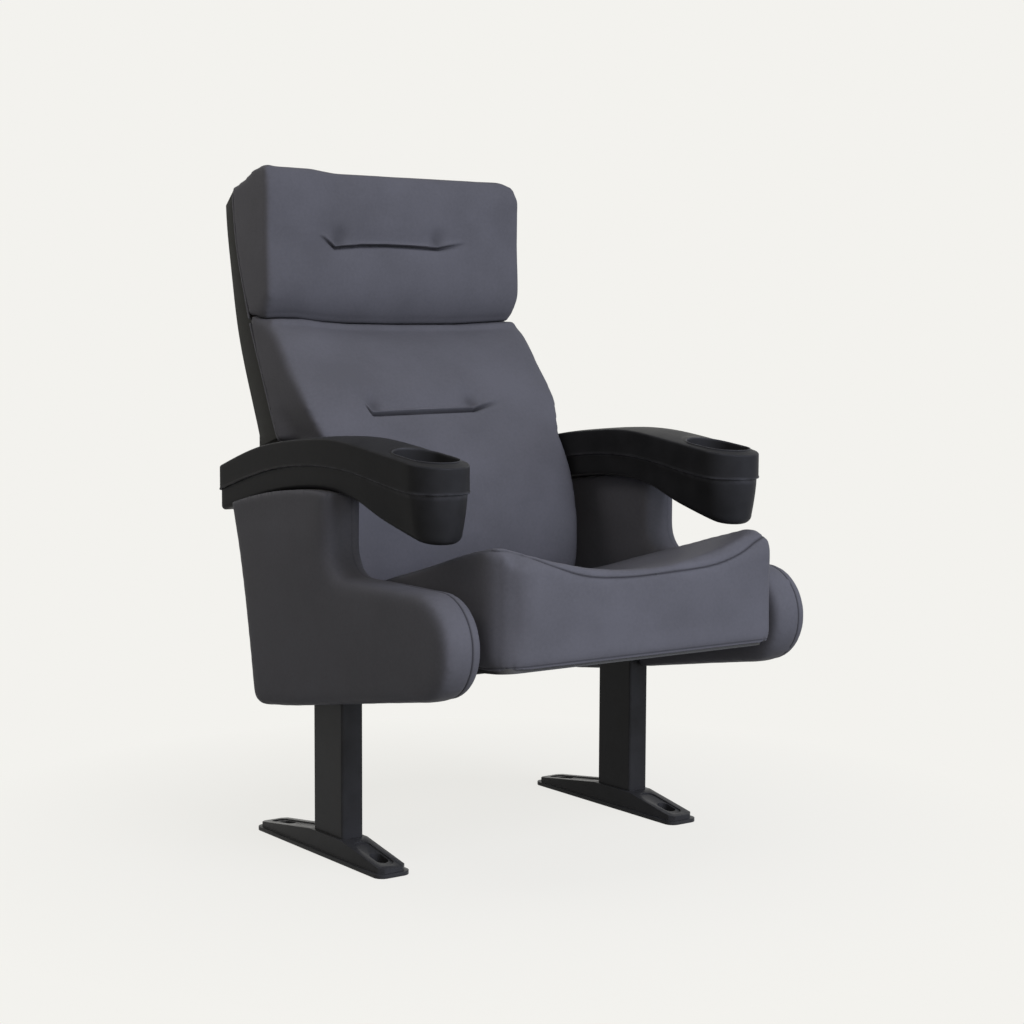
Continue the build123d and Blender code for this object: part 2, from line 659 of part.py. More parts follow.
def seat_cushion():
    """Foam and cover; a skirt of them comes down over the pan's edge to its underside."""
    wing = Spline(*[(y, SEAT_WING_TOP + drop) for y, drop in SEAT_WING_LINE])
    front_low = (SEAT_FRONT, tilted_point(SEAT_FRONT, 0)[1])
    rear_low = (SEAT_REAR, tilted_point(SEAT_REAR, 0)[1])
    front_high = (SEAT_FRONT, SEAT_WING_TOP - 34)
    edges = [wing, Line(wing @ 1, front_high), Line(front_high, front_low), Line(front_low, rear_low)]
    edges.append(Line(rear_low, wing @ 0))
    face = make_face(Plane.YZ * (Curve() + edges))
    block = Pos(-SEAT_HALF, 0, 0) * extrude(face, amount=2 * SEAT_HALF, dir=(1, 0, 0))
    plan = RectangleRounded(2 * SEAT_HALF, SEAT_REAR - SEAT_FRONT, SEAT_CORNER_R)
    block &= Pos(0, (SEAT_REAR + SEAT_FRONT) / 2, 0) * extrude(plan, 2 * SEAT_WING_TOP)
    rise = SEAT_WING_LINE[-2][1] - SEAT_WING_LINE[0][1]
    run = SEAT_WING_LINE[0][0] - SEAT_WING_LINE[-2][0]
    radius = (SEAT_DISH_HALF**2 + SEAT_DISH**2) / (2 * SEAT_DISH)
    centre_z = SEAT_WING_TOP - SEAT_DISH + radius
    dish = Rot(90, 0, 0) * Cylinder(radius, 3 * run)
    dish = Pos(0, SEAT_WING_LINE[-2][0], centre_z) * Rot(-degrees(atan2(rise, run)), 0, 0) * dish
    return block - dish - tilted(pan_plate(CLEAR))


# ---------------------------------------------------------------- back


def back_width_solid(inset, z_low, z_high):
    """Wide block with the back's front-view outline, between two heights."""
    heights = [z_low] + [z for z, _ in BACK_IN if z_low < z < z_high] + [z_high]
    right = [(HEAD_HALF - on_line(BACK_IN, z) - inset, z) for z in heights]
    left = [(-x, z) for x, z in reversed(right)]
    face = make_face(Plane.XZ * Polyline(*right, *left, close=True))
    return extrude(face, amount=BEYOND, dir=(0, 1, 0))


def back_band(front, rear):
    """Solid between two side outlines that run upward, as wide as the back."""
    top, low = Line(front @ 1, rear @ 1), Line(rear @ 0, front @ 0)
    face = make_face(Plane.YZ * (Curve() + [front, top, rear, low]))
    return Pos(-HEAD_HALF, 0, 0) * extrude(face, amount=2 * HEAD_HALF, dir=(1, 0, 0))


def board_curve(shift):
    """The front of the back board as a curve in the side view, moved along Y."""
    return Spline(*[(y + shift, z) for y, z in BOARD_LINE])


def shell_curve(shift):
    """The rear of the back shell as a curve in the side view, moved along Y."""
    return Spline(*[(y + shift, z) for y, z in SHELL_LINE])


def back_cushion():
    top = HEAD_CREASE - CREASE_GAP
    band = back_band(Spline(*BACK_FRONT_LINE), board_curve(-CLEAR))
    return band & back_width_solid(0, BACK_BOTTOM, top)


def head_cushion():
    front = Spline(*HEAD_FRONT_LINE)
    top_rear = board_curve(-CLEAR) @ 1
    far = (BEYOND, HEAD_CREASE)
    top = Polyline(front @ 1, top_rear, (BEYOND, top_rear.Y), far, front @ 0)
    face = make_face(Plane.YZ * (Curve() + [front, top]))
    band = Pos(-HEAD_HALF, 0, 0) * extrude(face, amount=2 * HEAD_HALF, dir=(1, 0, 0))
    band -= back_band(board_curve(-CLEAR), Line((2 * BEYOND, BACK_BOTTOM), (2 * BEYOND, top_rear.Y + BOARD_T)))
    height = HEAD_TOP - HEAD_CREASE
    outline = RectangleRounded(2 * HEAD_HALF, 2 * height, HEAD_CORNER_R)
    upper = extrude(Plane.XZ * Pos(0, HEAD_CREASE) * outline, amount=BEYOND, dir=(0, 1, 0))
    return band & upper & box(-BEYOND, BEYOND, 0, BEYOND, HEAD_CREASE, HEAD_TOP)


def back_board():
    band = back_band(board_curve(0), board_curve(BOARD_T))
    return band & back_width_solid(SHELL_IN + SHELL_T + CLEAR, BACK_BOTTOM, BOARD_TOP)


def back_shell():
    outer = back_band(board_curve(0), shell_curve(0))
    outer &= back_width_solid(SHELL_IN, BACK_BOTTOM, SHELL_TOP)
    hollow = back_band(board_curve(-5), shell_curve(-SHELL_T))
    hollow &= back_width_solid(SHELL_IN + SHELL_T, 0, SHELL_TOP - SHELL_T)
    solid = outer - hollow
    for side in (-1, 1):
        x_low, x_high = sorted((side * BAR_X, side * HEAD_HALF))
        solid -= rod_x(PIVOT_Y, PIVOT_Z, PIVOT_FLANGE_R + 1, x_low, x_high)
    for x, z in SHELL_SCREWS:
        solid -= rod_y(x, z, SCREW_R, shell_seat(z) - 30, shell_seat(z) + 1)
        solid -= rod_y(x, z, SCREW_HEAD_R, shell_seat(z), shell_seat(z) + 30)
    return solid


def shell_seat(z):
    """Where a screw head sits in the rear of the shell."""
    return crossing(shell_curve(0), Axis.Y, z).X - SHELL_T / 2


def tube_y(z):
    """Fore and aft place of a cross tube of the back frame."""
    return crossing(board_curve(BOARD_T + BAR_D / 2), Axis.Y, z).X


def back_bar():
    band = back_band(board_curve(BOARD_T), board_curve(BOARD_T + BAR_D))
    solid = band & box(BAR_X, BAR_X + BAR_T, 0, BEYOND, BACK_BOTTOM, BAR_TOP)
    foot_y, foot_z = LINK_UPPER
    bar_y = BOARD_LINE[0][0] + BOARD_T
    lug = [
        (foot_y - 12, foot_z - 12), (foot_y + 14, foot_z - 12), (bar_y + BAR_D, BACK_BOTTOM),
        (bar_y, BACK_BOTTOM), (foot_y - 12, foot_z + 10),
    ]
    solid += polygon_solid(lug, BAR_X, BAR_X + BAR_T)
    solid += rod_x(PIVOT_Y, PIVOT_Z, PIVOT_BOSS_R, BAR_X, BAR_X + BAR_T)
    solid -= rod_x(PIVOT_Y, PIVOT_Z, PIVOT_R, BAR_X - 1, BAR_X + BAR_T + 1)
    return solid - rod_x(foot_y, foot_z, LINK_PIN_R, BAR_X - 1, BAR_X + BAR_T + 1)


def back_tube(z):
    y = tube_y(z)
    solid = ring_x(y, z, BACK_TUBE_R, BACK_TUBE_R - 2, -BAR_X, BAR_X)
    for x, screw_z in SHELL_SCREWS:
        if screw_z == z:
            solid -= rod_y(x, z, SCREW_R, y, y + 2 * BACK_TUBE_R)
    return solid


def shell_screws():
    solids = []
    for x, z in SHELL_SCREWS:
        face = shell_seat(z)
        shank = rod_y(x, z, SCREW_R, tube_y(z) + 2, face)
        solids.append(shank + rod_y(x, z, SCREW_HEAD_R, face, face + SCREW_HEAD_T))
    return solids


# ---------------------------------------------------------------- pivots and links


def pivot_housing():
    return ring_x(PIVOT_Y, PIVOT_Z, HOUSING_R, SPRING_R, PLATE_IN - HOUSING_L, PLATE_IN)


def torsion_spring():
    return ring_x(PIVOT_Y, PIVOT_Z, SPRING_R, PIVOT_R + FIT, PLATE_IN - HOUSING_L, COLUMN_IN)


def pivot_pin():
    bar_out = BAR_X + BAR_T
    shaft = rod_x(PIVOT_Y, PIVOT_Z, PIVOT_R, BAR_X - PIVOT_NUT_L - 2, COLUMN_IN)
    flange = rod_x(PIVOT_Y, PIVOT_Z, PIVOT_FLANGE_R, bar_out, bar_out + 4)
    return shaft + flange


def pivot_nut():
    hexagon = extrude(RegularPolygon(1.6 * PIVOT_R, 6), PIVOT_NUT_L)
    nut = Pos(BAR_X - PIVOT_NUT_L, PIVOT_Y, PIVOT_Z) * Rot(0, 90, 0) * hexagon
    return nut - rod_x(PIVOT_Y, PIVOT_Z, PIVOT_R, BAR_X - 40, BAR_X + 1)


def link():
    run, rise = LINK_UPPER[0] - LINK_LOWER[0], LINK_UPPER[1] - LINK_LOWER[1]
    length = sqrt(run**2 + rise**2)
    bar = extrude(SlotCenterToCenter(length, LINK_W), LINK_T)
    middle = ((LINK_UPPER[0] + LINK_LOWER[0]) / 2, (LINK_UPPER[1] + LINK_LOWER[1]) / 2)
    turned = Plane.YZ.offset(LINK_X) * Pos(*middle) * Rot(0, 0, degrees(atan2(rise, run))) * bar
    turned -= rod_x(*LINK_UPPER, LINK_PIN_R + FIT, LINK_X - 1, LINK_X + LINK_T + 1)
    return turned - rod_x(*LINK_LOWER, LINK_PIN_R + LINK_SLACK, LINK_X - 1, LINK_X + LINK_T + 1)


def upper_link_pin():
    pin = rod_x(*LINK_UPPER, LINK_PIN_R, LINK_X - 4, BAR_X + BAR_T)
    collar = rod_x(*LINK_UPPER, LINK_PIN_R + 4, LINK_X + LINK_T + CLEAR, BAR_X)
    head = rod_x(*LINK_UPPER, LINK_PIN_R + 3, LINK_X - 4, LINK_X - CLEAR)
    return pin + collar + head


BRACKET_X = LINK_X - 6 - LINK_BRACKET_T


def seat_bracket():
    y, z = LINK_LOWER
    top_front = tilted_point(y - 18, 0)
    top_rear = tilted_point(y + 10, 0)
    plate = [(y - 12, z - 12), (y + 12, z - 12), top_rear, top_front]
    solid = polygon_solid(plate, BRACKET_X, BRACKET_X + LINK_BRACKET_T)
    return solid - rod_x(y, z, LINK_PIN_R, BRACKET_X - 1, BRACKET_X + LINK_BRACKET_T + 1)


def lower_link_pin():
    pin = rod_x(*LINK_LOWER, LINK_PIN_R, BRACKET_X, LINK_X + LINK_T + 3)
    collar = rod_x(*LINK_LOWER, LINK_PIN_R + 4, BRACKET_X + LINK_BRACKET_T, LINK_X - CLEAR)
    head = rod_x(*LINK_LOWER, LINK_PIN_R + 4, LINK_X + LINK_T + CLEAR, LINK_X + LINK_T + 3)
    return pin + collar + head


# ---------------------------------------------------------------- nodes

PAIRS = {
    "foot": foot(),
    "column": column(),
    "side_plate": side_plate(),
    "seat_channel": channel(),
    "seat_runner": runner(),
    "panel_core": panel_core(),
    "panel_pad": panel_pad(),
    "armrest_casing": arm_casing(),
    "armrest_cap": arm_cap(),
    "pivot_housing": pivot_housing(),
    "torsion_spring": torsion_spring(),
    "pivot_pin": pivot_pin(),
    "back_side_bar": back_bar(),
    "synchro_link": link(),
    "seat_link_bracket": seat_bracket(),
}

GROUPS = {
    "side_plate_bolts": plate_bolts(),
    "panel_bolts": panel_bolts(),
    "armrest_screws": arm_screws(),
    "pivot_nuts": [pivot_nut()],
    "upper_link_pins": [upper_link_pin()],
    "lower_link_pins": [lower_link_pin()],
}

SINGLES = {
    "front_cross_tube": cross_tube(TUBE_FRONT_U),
    "rear_cross_tube": cross_tube(TUBE_REAR_U),
    "seat_pan": seat_pan(),
    "seat_cushion": seat_cushion(),
    "back_cushion": back_cushion(),
    "head_cushion": head_cushion(),
    "back_board": back_board(),
    "back_shell": back_shell(),
    "lower_back_tube": back_tube(BACK_TUBE_Z[0]),
    "middle_back_tube": back_tube(BACK_TUBE_Z[1]),
    "upper_back_tube": back_tube(BACK_TUBE_Z[2]),
}

nodes = {}
for name, solid in PAIRS.items():
    nodes["right_" + name] = solid
    nodes["left_" + name] = mirrored(solid)
for name, solids in GROUPS.items():
    nodes[name] = Compound([*solids, *[mirrored(s) for s in solids]])
nodes["channel_glides"] = Compound(glides())
nodes["seat_buffers"] = Compound(seat_buffers())
nodes["runner_screws"] = Compound(runner_screws())
nodes["shell_screws"] = Compound(shell_screws())
nodes.update(SINGLES)

os.makedirs("parts", exist_ok=True)
for name, solid in nodes.items():
    export_step(Pos(0, -ORIGIN_Y, 0) * solid, f"parts/{name}.step")
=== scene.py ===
"""Looks of the cinema recliner seat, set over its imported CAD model.

Shapes are worked out in millimetres from the middle of the columns, as in the part's source,
and written to the meshes in metres of the row frame.
"""

import json
import math

import bmesh
import bpy
import numpy as np
from mathutils import Matrix, Vector


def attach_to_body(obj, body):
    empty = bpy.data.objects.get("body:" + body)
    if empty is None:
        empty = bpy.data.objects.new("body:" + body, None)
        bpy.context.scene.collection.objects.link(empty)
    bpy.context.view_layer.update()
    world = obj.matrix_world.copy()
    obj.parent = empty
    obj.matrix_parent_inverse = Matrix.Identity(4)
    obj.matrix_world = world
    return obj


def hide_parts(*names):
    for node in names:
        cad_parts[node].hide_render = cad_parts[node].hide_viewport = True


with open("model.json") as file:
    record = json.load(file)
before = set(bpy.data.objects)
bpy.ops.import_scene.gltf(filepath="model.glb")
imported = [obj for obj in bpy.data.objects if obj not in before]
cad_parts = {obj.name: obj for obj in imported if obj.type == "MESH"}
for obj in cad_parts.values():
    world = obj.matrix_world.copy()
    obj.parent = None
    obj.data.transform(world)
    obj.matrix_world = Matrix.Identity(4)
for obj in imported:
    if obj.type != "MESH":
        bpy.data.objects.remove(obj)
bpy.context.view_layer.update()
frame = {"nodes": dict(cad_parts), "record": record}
scene = bpy.context.scene

MM = 0.001
TINY = 1e-6  # keeps divisors away from zero
COLUMN_Y = 9.0  # the columns stand this far behind the origin of the row frame

# ---------------------------------------------------------------- measures shared with the part

SEAT_FRONT = -400.0
SEAT_HALF = 256.0
SEAT_TILT = 5.0
PAN_Z = 300.0
PANEL_T = 68.0
PANEL_IN = 278.0
ARM_X = 284.0
ARM_HALF_FRONT = 49.0
ARM_HALF_REAR = 40.0
ARM_REAR = 316.0
ARM_END_Y = -264.0
ARM_STEP = 3.0
ARM_NOSE_IN = 10.0
ARM_NOSE_START = -150.0
CUP_R = 38.0
CUP_FLOOR_R = 32.0
CUP_FRONT_Y = -258.0
CUP_REAR_Y = -221.0
CUP_FLOOR = 556.0
HEAD_CREASE = 829.0
HEAD_TOP = 1080.0
HEAD_HALF = 257.0
BACK_BOTTOM = 345.0
COLUMN_D = 86.0
COLUMN_TOP = 392.0
PAN_T = 8.0
SEAT_REAR = 60.0


class Line:
    """Smooth curve through (place, value) points, straight beyond its ends."""

    def __init__(self, points):
        points = sorted(points)
        self.x = np.array([p[0] for p in points], float)
        self.y = np.array([p[1] for p in points], float)
        gap = np.diff(self.x)
        rise = np.diff(self.y) / gap
        count = len(points)
        matrix = np.eye(count)
        right = np.zeros(count)
        for i in range(1, count - 1):
            matrix[i, i - 1 : i + 2] = gap[i - 1], 2 * (gap[i - 1] + gap[i]), gap[i]
            right[i] = 6 * (rise[i] - rise[i - 1])
        self.bend = np.linalg.solve(matrix, right)
        self.gap = gap
        self.rise = rise

    def __call__(self, place):
        place = np.asarray(place, float)
        inside = np.clip(place, self.x[0], self.x[-1])
        i = np.clip(np.searchsorted(self.x, inside) - 1, 0, len(self.gap) - 1)
        h = self.gap[i]
        a = (self.x[i + 1] - inside) / h
        b = 1 - a
        value = a * self.y[i] + b * self.y[i + 1]
        value += ((a**3 - a) * self.bend[i] + (b**3 - b) * self.bend[i + 1]) * h * h / 6
        low = self.rise[0] - self.gap[0] * (2 * self.bend[0] + self.bend[1]) / 6
        high = self.rise[-1] + self.gap[-1] * (self.bend[-2] + 2 * self.bend[-1]) / 6
        value += np.where(place < self.x[0], (place - self.x[0]) * low, 0)
        return value + np.where(place > self.x[-1], (place - self.x[-1]) * high, 0)


# outlines of the armrest from the side, as (y, z): its top, parting line and underside
ARM_TOP = Line(
    [
        (307, 593), (173, 630), (30, 648), (-50, 652), (-143, 644.2), (-200, 636.8),
        (-264, 628.4), (-335, 619.5),
    ]
)
ARM_SPLIT = Line([(297, 555), (184, 584.5), (0, 608.5), (-118, 604.5), (-260, 585), (-335, 582.5)])
ARM_UNDER = Line(
    [(283.5, 524), (150, 555), (0, 572.5), (-60, 572), (-190, 544), (-285, 517), (-335, 514.5)]
)
# front face of the back board, as (z, y)
BOARD = Line(
    [
        (345, 186), (440, 190), (540, 203), (636, 240), (667, 256), (756, 299), (827, 332),
        (885, 353), (945, 373), (1029, 387), (1050, 389),
    ]
)

# ---------------------------------------------------------------- mesh helpers


def add_object(name, data):
    piece = bpy.data.objects.new(name, data)
    scene.collection.objects.link(piece)
    return piece


def to_metres(points):
    """Points in metres of the row frame, from millimetres from the columns."""
    return (np.asarray(points, float) - (0, COLUMN_Y, 0)) * MM


def to_millimetres(points):
    return points / MM + (0, COLUMN_Y, 0)


def read(piece):
    """Vertices of a piece in millimetres from the columns."""
    co = np.empty(len(piece.data.vertices) * 3)
    piece.data.vertices.foreach_get("co", co)
    return to_millimetres(co.reshape(-1, 3))


def write(piece, co):
    piece.data.vertices.foreach_set("co", to_metres(co).ravel())
    piece.data.update()


def normals(piece):
    n = np.empty(len(piece.data.vertices) * 3)
    piece.data.vertex_normals.foreach_get("vector", n)
    return n.reshape(-1, 3)


def links(piece):
    """Both ends of every edge, as two arrays of vertex numbers."""
    ends = np.empty(len(piece.data.edges) * 2, int)
    piece.data.edges.foreach_get("vertices", ends)
    return ends[0::2], ends[1::2]


def degree(a, b, count):
    """How many edges meet at each vertex, at least 1."""
    return np.maximum(np.bincount(a, minlength=count) + np.bincount(b, minlength=count), 1)


def attach(piece, name, values):
    """Values from 0 to 1 kept as a point attribute."""
    attribute = piece.data.attributes.new(name, "FLOAT", "POINT")
    attribute.data.foreach_set("value", np.clip(values, 0, 1).astype(np.float32))


def step(value, low, high):
    """Smooth rise from 0 at low to 1 at high."""
    t = np.clip((value - low) / (high - low), 0, 1)
    return t * t * (3 - 2 * t)


# half width of the back as the part has it, as (z, x)
BACK_WIDEST_Z = 730.0
BACK_LINE = Line(
    [
        (345, 237), (500, 238), (640, 238.5), (660, 245), (690, 253.5), (BACK_WIDEST_Z, HEAD_HALF),
        (HEAD_TOP, HEAD_HALF),
    ]
)
OVER_ARM = (6.0, 24.0)  # the rear edge widens from one height above the armrest's top to the other


def back_half(z):
    return np.minimum(BACK_LINE(np.minimum(z, BACK_WIDEST_Z)), HEAD_HALF)


def rear_growth(y, z):
    """How much wider the rear edge is than the part's back."""
    return (HEAD_HALF - back_half(z)) * step(z - ARM_TOP(y), *OVER_ARM)


def between(value, limits):
    return (value > limits[0]) & (value < limits[1])


def bell(value, width):
    """1 at zero, fading to both sides."""
    return np.exp(-((value / width) ** 2))


def make(name, points, faces):
    """Object from millimetre points, its faces smooth."""
    mesh = bpy.data.meshes.new(name)
    mesh.from_pydata(to_metres(points).tolist(), [], faces)
    piece = add_object(name, mesh)
    mend(piece)
    return piece


TOUCHING = 1e-7  # metres: nearer than this is the same place
LOOSE_DOUBLE = 1e-6
CAD_DOUBLE = 1e-5


def mend(piece):
    """Doubles merged, faces outward and smooth."""
    edit = bmesh.new()
    edit.from_mesh(piece.data)
    bmesh.ops.remove_doubles(edit, verts=edit.verts, dist=LOOSE_DOUBLE)
    bmesh.ops.dissolve_degenerate(edit, edges=edit.edges, dist=TOUCHING)
    bmesh.ops.recalc_face_normals(edit, faces=edit.faces)
    for face in edit.faces:
        face.smooth = True
    edit.to_mesh(piece.data)
    edit.free()


def smooth(piece):
    for polygon in piece.data.polygons:
        polygon.use_smooth = True


def freeze(piece):
    """The piece's modifiers become its mesh."""
    graph = bpy.context.evaluated_depsgraph_get()
    mesh = bpy.data.meshes.new_from_object(piece.evaluated_get(graph), depsgraph=graph)
    piece.modifiers.clear()
    old = piece.data
    piece.data = mesh
    bpy.data.meshes.remove(old)


def solid_copy(node, name):
    """Welded copy of a CAD solid without its shading data."""
    source = frame["nodes"][node].data
    mesh = bpy.data.meshes.new(name)
    points = [v.co.copy() for v in source.vertices]
    mesh.from_pydata(points, [], [tuple(p.vertices) for p in source.polygons])
    piece = add_object(name, mesh)
    edit = bmesh.new()
    edit.from_mesh(mesh)
    bmesh.ops.remove_doubles(edit, verts=edit.verts, dist=CAD_DOUBLE)
    edit.to_mesh(mesh)
    edit.free()
    return piece


EDGE_FROM = 0.06  # gentler bends than this count as no edge
EDGE_GAIN = 9.0
EDGE_ROUNDS = 3   # how often the edge values are spread to their neighbours


def mark_edges(piece):
    """Attribute edge: 1 where the surface is strongly convex, for wear and painted highlight along
    edges.
    """
    co, n = read(piece), normals(piece)
    a, b = links(piece)
    d = co[a] - co[b]
    length = np.maximum(np.linalg.norm(d, axis=1), TINY)
    bend_a = np.einsum("ij,ij->i", n[a], d) / length
    bend_b = -np.einsum("ij,ij->i", n[b], d) / length
    count = len(co)
    around = degree(a, b, count)
    share = (np.bincount(a, bend_a, count) + np.bincount(b, bend_b, count)) / around
    for _ in range(EDGE_ROUNDS):
        share = (np.bincount(a, share[b], count) + np.bincount(b, share[a], count)) / around
    attach(piece, "edge", (share - EDGE_FROM) * EDGE_GAIN)


# ---------------------------------------------------------------- upholstery


def ease(piece, rounds, weight):
    """Averages each point with its neighbours, where weight is above zero."""
    co = read(piece)
    a, b = links(piece)
    count = len(co)
    around = degree(a, b, count)[:, None]
    share = 0.5 * weight(co)[:, None]
    for _ in range(rounds):
        total = [
            np.bincount(a, co[b, k], count) + np.bincount(b, co[a, k], count) for k in range(3)
        ]
        co = co + share * (np.stack(total, 1) / around - co)
    write(piece, co)


CLOTH_PRESSURE = 4
CLOTH_FRAMES = 20


def inflate(piece, crown, weight):
    """Cloth under pressure, its swelling scaled so that the fullest place rises by crown."""
    start = read(piece)
    cloth = piece.modifiers.new("Foam", "CLOTH")
    cloth.settings.use_pressure = True
    cloth.settings.uniform_pressure_force = CLOTH_PRESSURE
    cloth.settings.effector_weights.gravity = 0
    cloth.settings.quality = 4
    cloth.point_cache.frame_start = 1
    cloth.point_cache.frame_end = CLOTH_FRAMES
    for number in range(1, CLOTH_FRAMES + 1):
        scene.frame_set(number)
    graph = bpy.context.evaluated_depsgraph_get()
    swollen = piece.evaluated_get(graph).to_mesh()
    co = np.empty(len(swollen.vertices) * 3)
    swollen.vertices.foreach_get("co", co)
    co = to_millimetres(co.reshape(-1, 3))
    piece.evaluated_get(graph).to_mesh_clear()
    piece.modifiers.clear()
    scene.frame_set(1)
    move = (co - start) * weight(start, normals(piece))[:, None]
    length = np.linalg.norm(move, axis=1)
    fullest = max(np.percentile(length, 98), TINY)
    move *= crown / fullest
    length *= crown / fullest
    move *= np.minimum(1, crown / np.maximum(length, TINY))[:, None]
    write(piece, start + move)


def pad(node, name, eased, swelling, shape, voxel=6.0, rounds=6, crown=6.0, prepare=None):
    """Cushion from its CAD solid: remeshed, its edges eased, blown up, shaped and refined.

    eased and swelling weigh the points, rounds is how often the edges are eased, and crown how
    far the fullest place rises.
    """
    piece = solid_copy(node, name)
    if prepare:
        write(piece, prepare(read(piece)))
    remesh = piece.modifiers.new("Remesh", "REMESH")
    remesh.mode = "VOXEL"
    remesh.voxel_size = voxel * MM
    freeze(piece)
    ease(piece, rounds, eased)
    inflate(piece, crown, swelling)
    shape(piece)
    refine = piece.modifiers.new("Refine", "SUBSURF")
    refine.levels = refine.render_levels = 1
    freeze(piece)
    smooth(piece)
    return piece


def slice_faces(edit, faces, places, direction):
    """Cuts the faces by planes across a direction, at places in metres along it."""
    direction = Vector(direction)
    for place in places:
        faces = [f for f in faces if f.is_valid]
        geometry = set(faces)
        for face in faces:
            geometry.update(face.edges)
            geometry.update(face.verts)
        result = bmesh.ops.bisect_plane(
            edit, geom=list(geometry), dist=TOUCHING, plane_co=direction * place, plane_no=direction
        )
        faces = [g for g in result["geom"] if isinstance(g, bmesh.types.BMFace)]


def cut(piece, height, offsets, where):
    """Edge loops where z - height(x, y, z) takes each of the offsets, on the faces chosen."""
    edit = bmesh.new()
    edit.from_mesh(piece.data)
    points = to_millimetres(np.array([v.co for v in edit.verts]))
    lift = height(points[:, 0], points[:, 1], points[:, 2]) * MM
    chosen = set(np.nonzero(where(points))[0])
    edit.verts.ensure_lookup_table()
    warp = edit.verts.layers.float.new("lift")
    for vert, value in zip(edit.verts, lift):
        vert[warp] = value
        vert.co.z -= value
    faces = [f for f in edit.faces if all(v.index in chosen for v in f.verts)]
    slice_faces(edit, faces, [offset * MM for offset in offsets], (0, 0, 1))
    for vert in edit.verts:
        vert.co.z += vert[warp]
    edit.verts.layers.float.remove(warp)
    edit.to_mesh(piece.data)
    edit.free()


def reach(angle, half, radius):
    """Distance from a square's middle to its outline, its corner rounded, in a direction."""
    c, s = np.cos(angle), np.sin(angle)
    larger = np.maximum(np.maximum(c, s), TINY)
    straight = half / larger
    inner = half - radius
    along = inner * (c + s)
    round_part = along + np.sqrt(np.maximum(along**2 - 2 * inner**2 + radius**2, 0))
    side = np.minimum(c, s) / larger * half
    return np.where(side > inner, round_part, straight)


def reshape_corner(a, b, half, old, new):
    """Offsets (a, b) from a corner's middle, its rounding changed from old to new."""
    inside = (a > 0) & (b > 0)
    angle = np.arctan2(np.maximum(b, TINY), np.maximum(a, TINY))
    factor = np.where(inside, reach(angle, half, new) / reach(angle, half, old), 1.0)
    return a * factor, b * factor


def press(piece, depth, shade):
    """Moves every point inward by depth(points, normals); shade gives the hollow attribute, which
    paints shade into seams, creases and dimples.
    """
    co, n = read(piece), normals(piece)
    write(piece, co - n * depth(co, n)[:, None])
    attach(piece, "hollow", shade(co, n))


# panels: the same cover on both sides, sewn near its +X edge

PANEL_SEAM_IN = 20.0      # seam to that edge
PANEL_LOW_Z = 219.5       # underside of the pad
PANEL_REAR_LOW = 147.0    # rear edge of the pad at its lower end
PANEL_REAR_LEAN = 75 / 309.5  # how far that edge leans back for each millimetre of height
PANEL_REAR_OUT = 11.0     # the stuffed cover stands out behind the solid, more so lower down
PANEL_REAR_OUT_LOW = 18.0
PANEL_CORNER_OUT = 3.0    # and its upper rear corner this much further
PANEL_SAG = 4.0           # the cover hangs this much below the solid
LID_GAP = 0.3             # cover to the armrest above it
SEAM_DEPTH = 1.6
SEAM_CUTS = (-1.5, 0, 1.5)
SEAM_REACH = 12.0         # faces nearer than this are cut for a seam


def sew_panel(piece, seam_x):
    """Seam round the rim of a panel, in a plane across X."""
    edit = bmesh.new()
    edit.from_mesh(piece.data)
    near = [
        f for f in edit.faces
        if abs(f.calc_center_median().x / MM - seam_x) < SEAM_REACH and abs(f.normal.x) < 0.9
    ]
    slice_faces(edit, near, [(seam_x + offset) * MM for offset in SEAM_CUTS], (1, 0, 0))
    edit.to_mesh(piece.data)
    edit.free()

    def rim(co, n):
        """The seam shows round the rim, and most round the nose."""
        nose = 0.25 + 0.75 * step(-co[:, 1], 190, 250)
        return (1 - step(np.abs(n[:, 0]), 0.8, 0.96)) * outer_rim(co) * nose

    def depth(co, n):
        across = co[:, 0] - seam_x
        return rim(co, n) * (SEAM_DEPTH * bell(across, 1.1) + 0.9 * bell(across, 7))

    def shade(co, n):
        # painted shade along the seam
        return rim(co, n) * bell(co[:, 0] - seam_x, 1.5)

    press(piece, depth, shade)


# pockets of a panel for its core board and column, with a little room around them
POCKET_X = (301, 325)
STEM_Y = (-46, 196)
STEM_LOW = 245
NOSE_Y = (-366, -46)
NOSE_Z = (311, 427)
COLUMN_POCKET_OUT = 307   # the column's pocket reaches out to here
COLUMN_ROOM = 3


def outer_rim(co):
    """1 on a panel's outer surface, 0 in the pockets for its core board and column."""
    x, y, z = np.abs(co[:, 0]), co[:, 1], co[:, 2]
    stem = between(y, STEM_Y) & (z > STEM_LOW)
    nose = between(y, NOSE_Y) & between(z, NOSE_Z)
    along = (np.abs(y) < COLUMN_D / 2 + COLUMN_ROOM) & (z < COLUMN_TOP + COLUMN_ROOM)
    column = (x < COLUMN_POCKET_OUT) & along
    return 1.0 - ((between(x, POCKET_X) & (stem | nose)) | column)


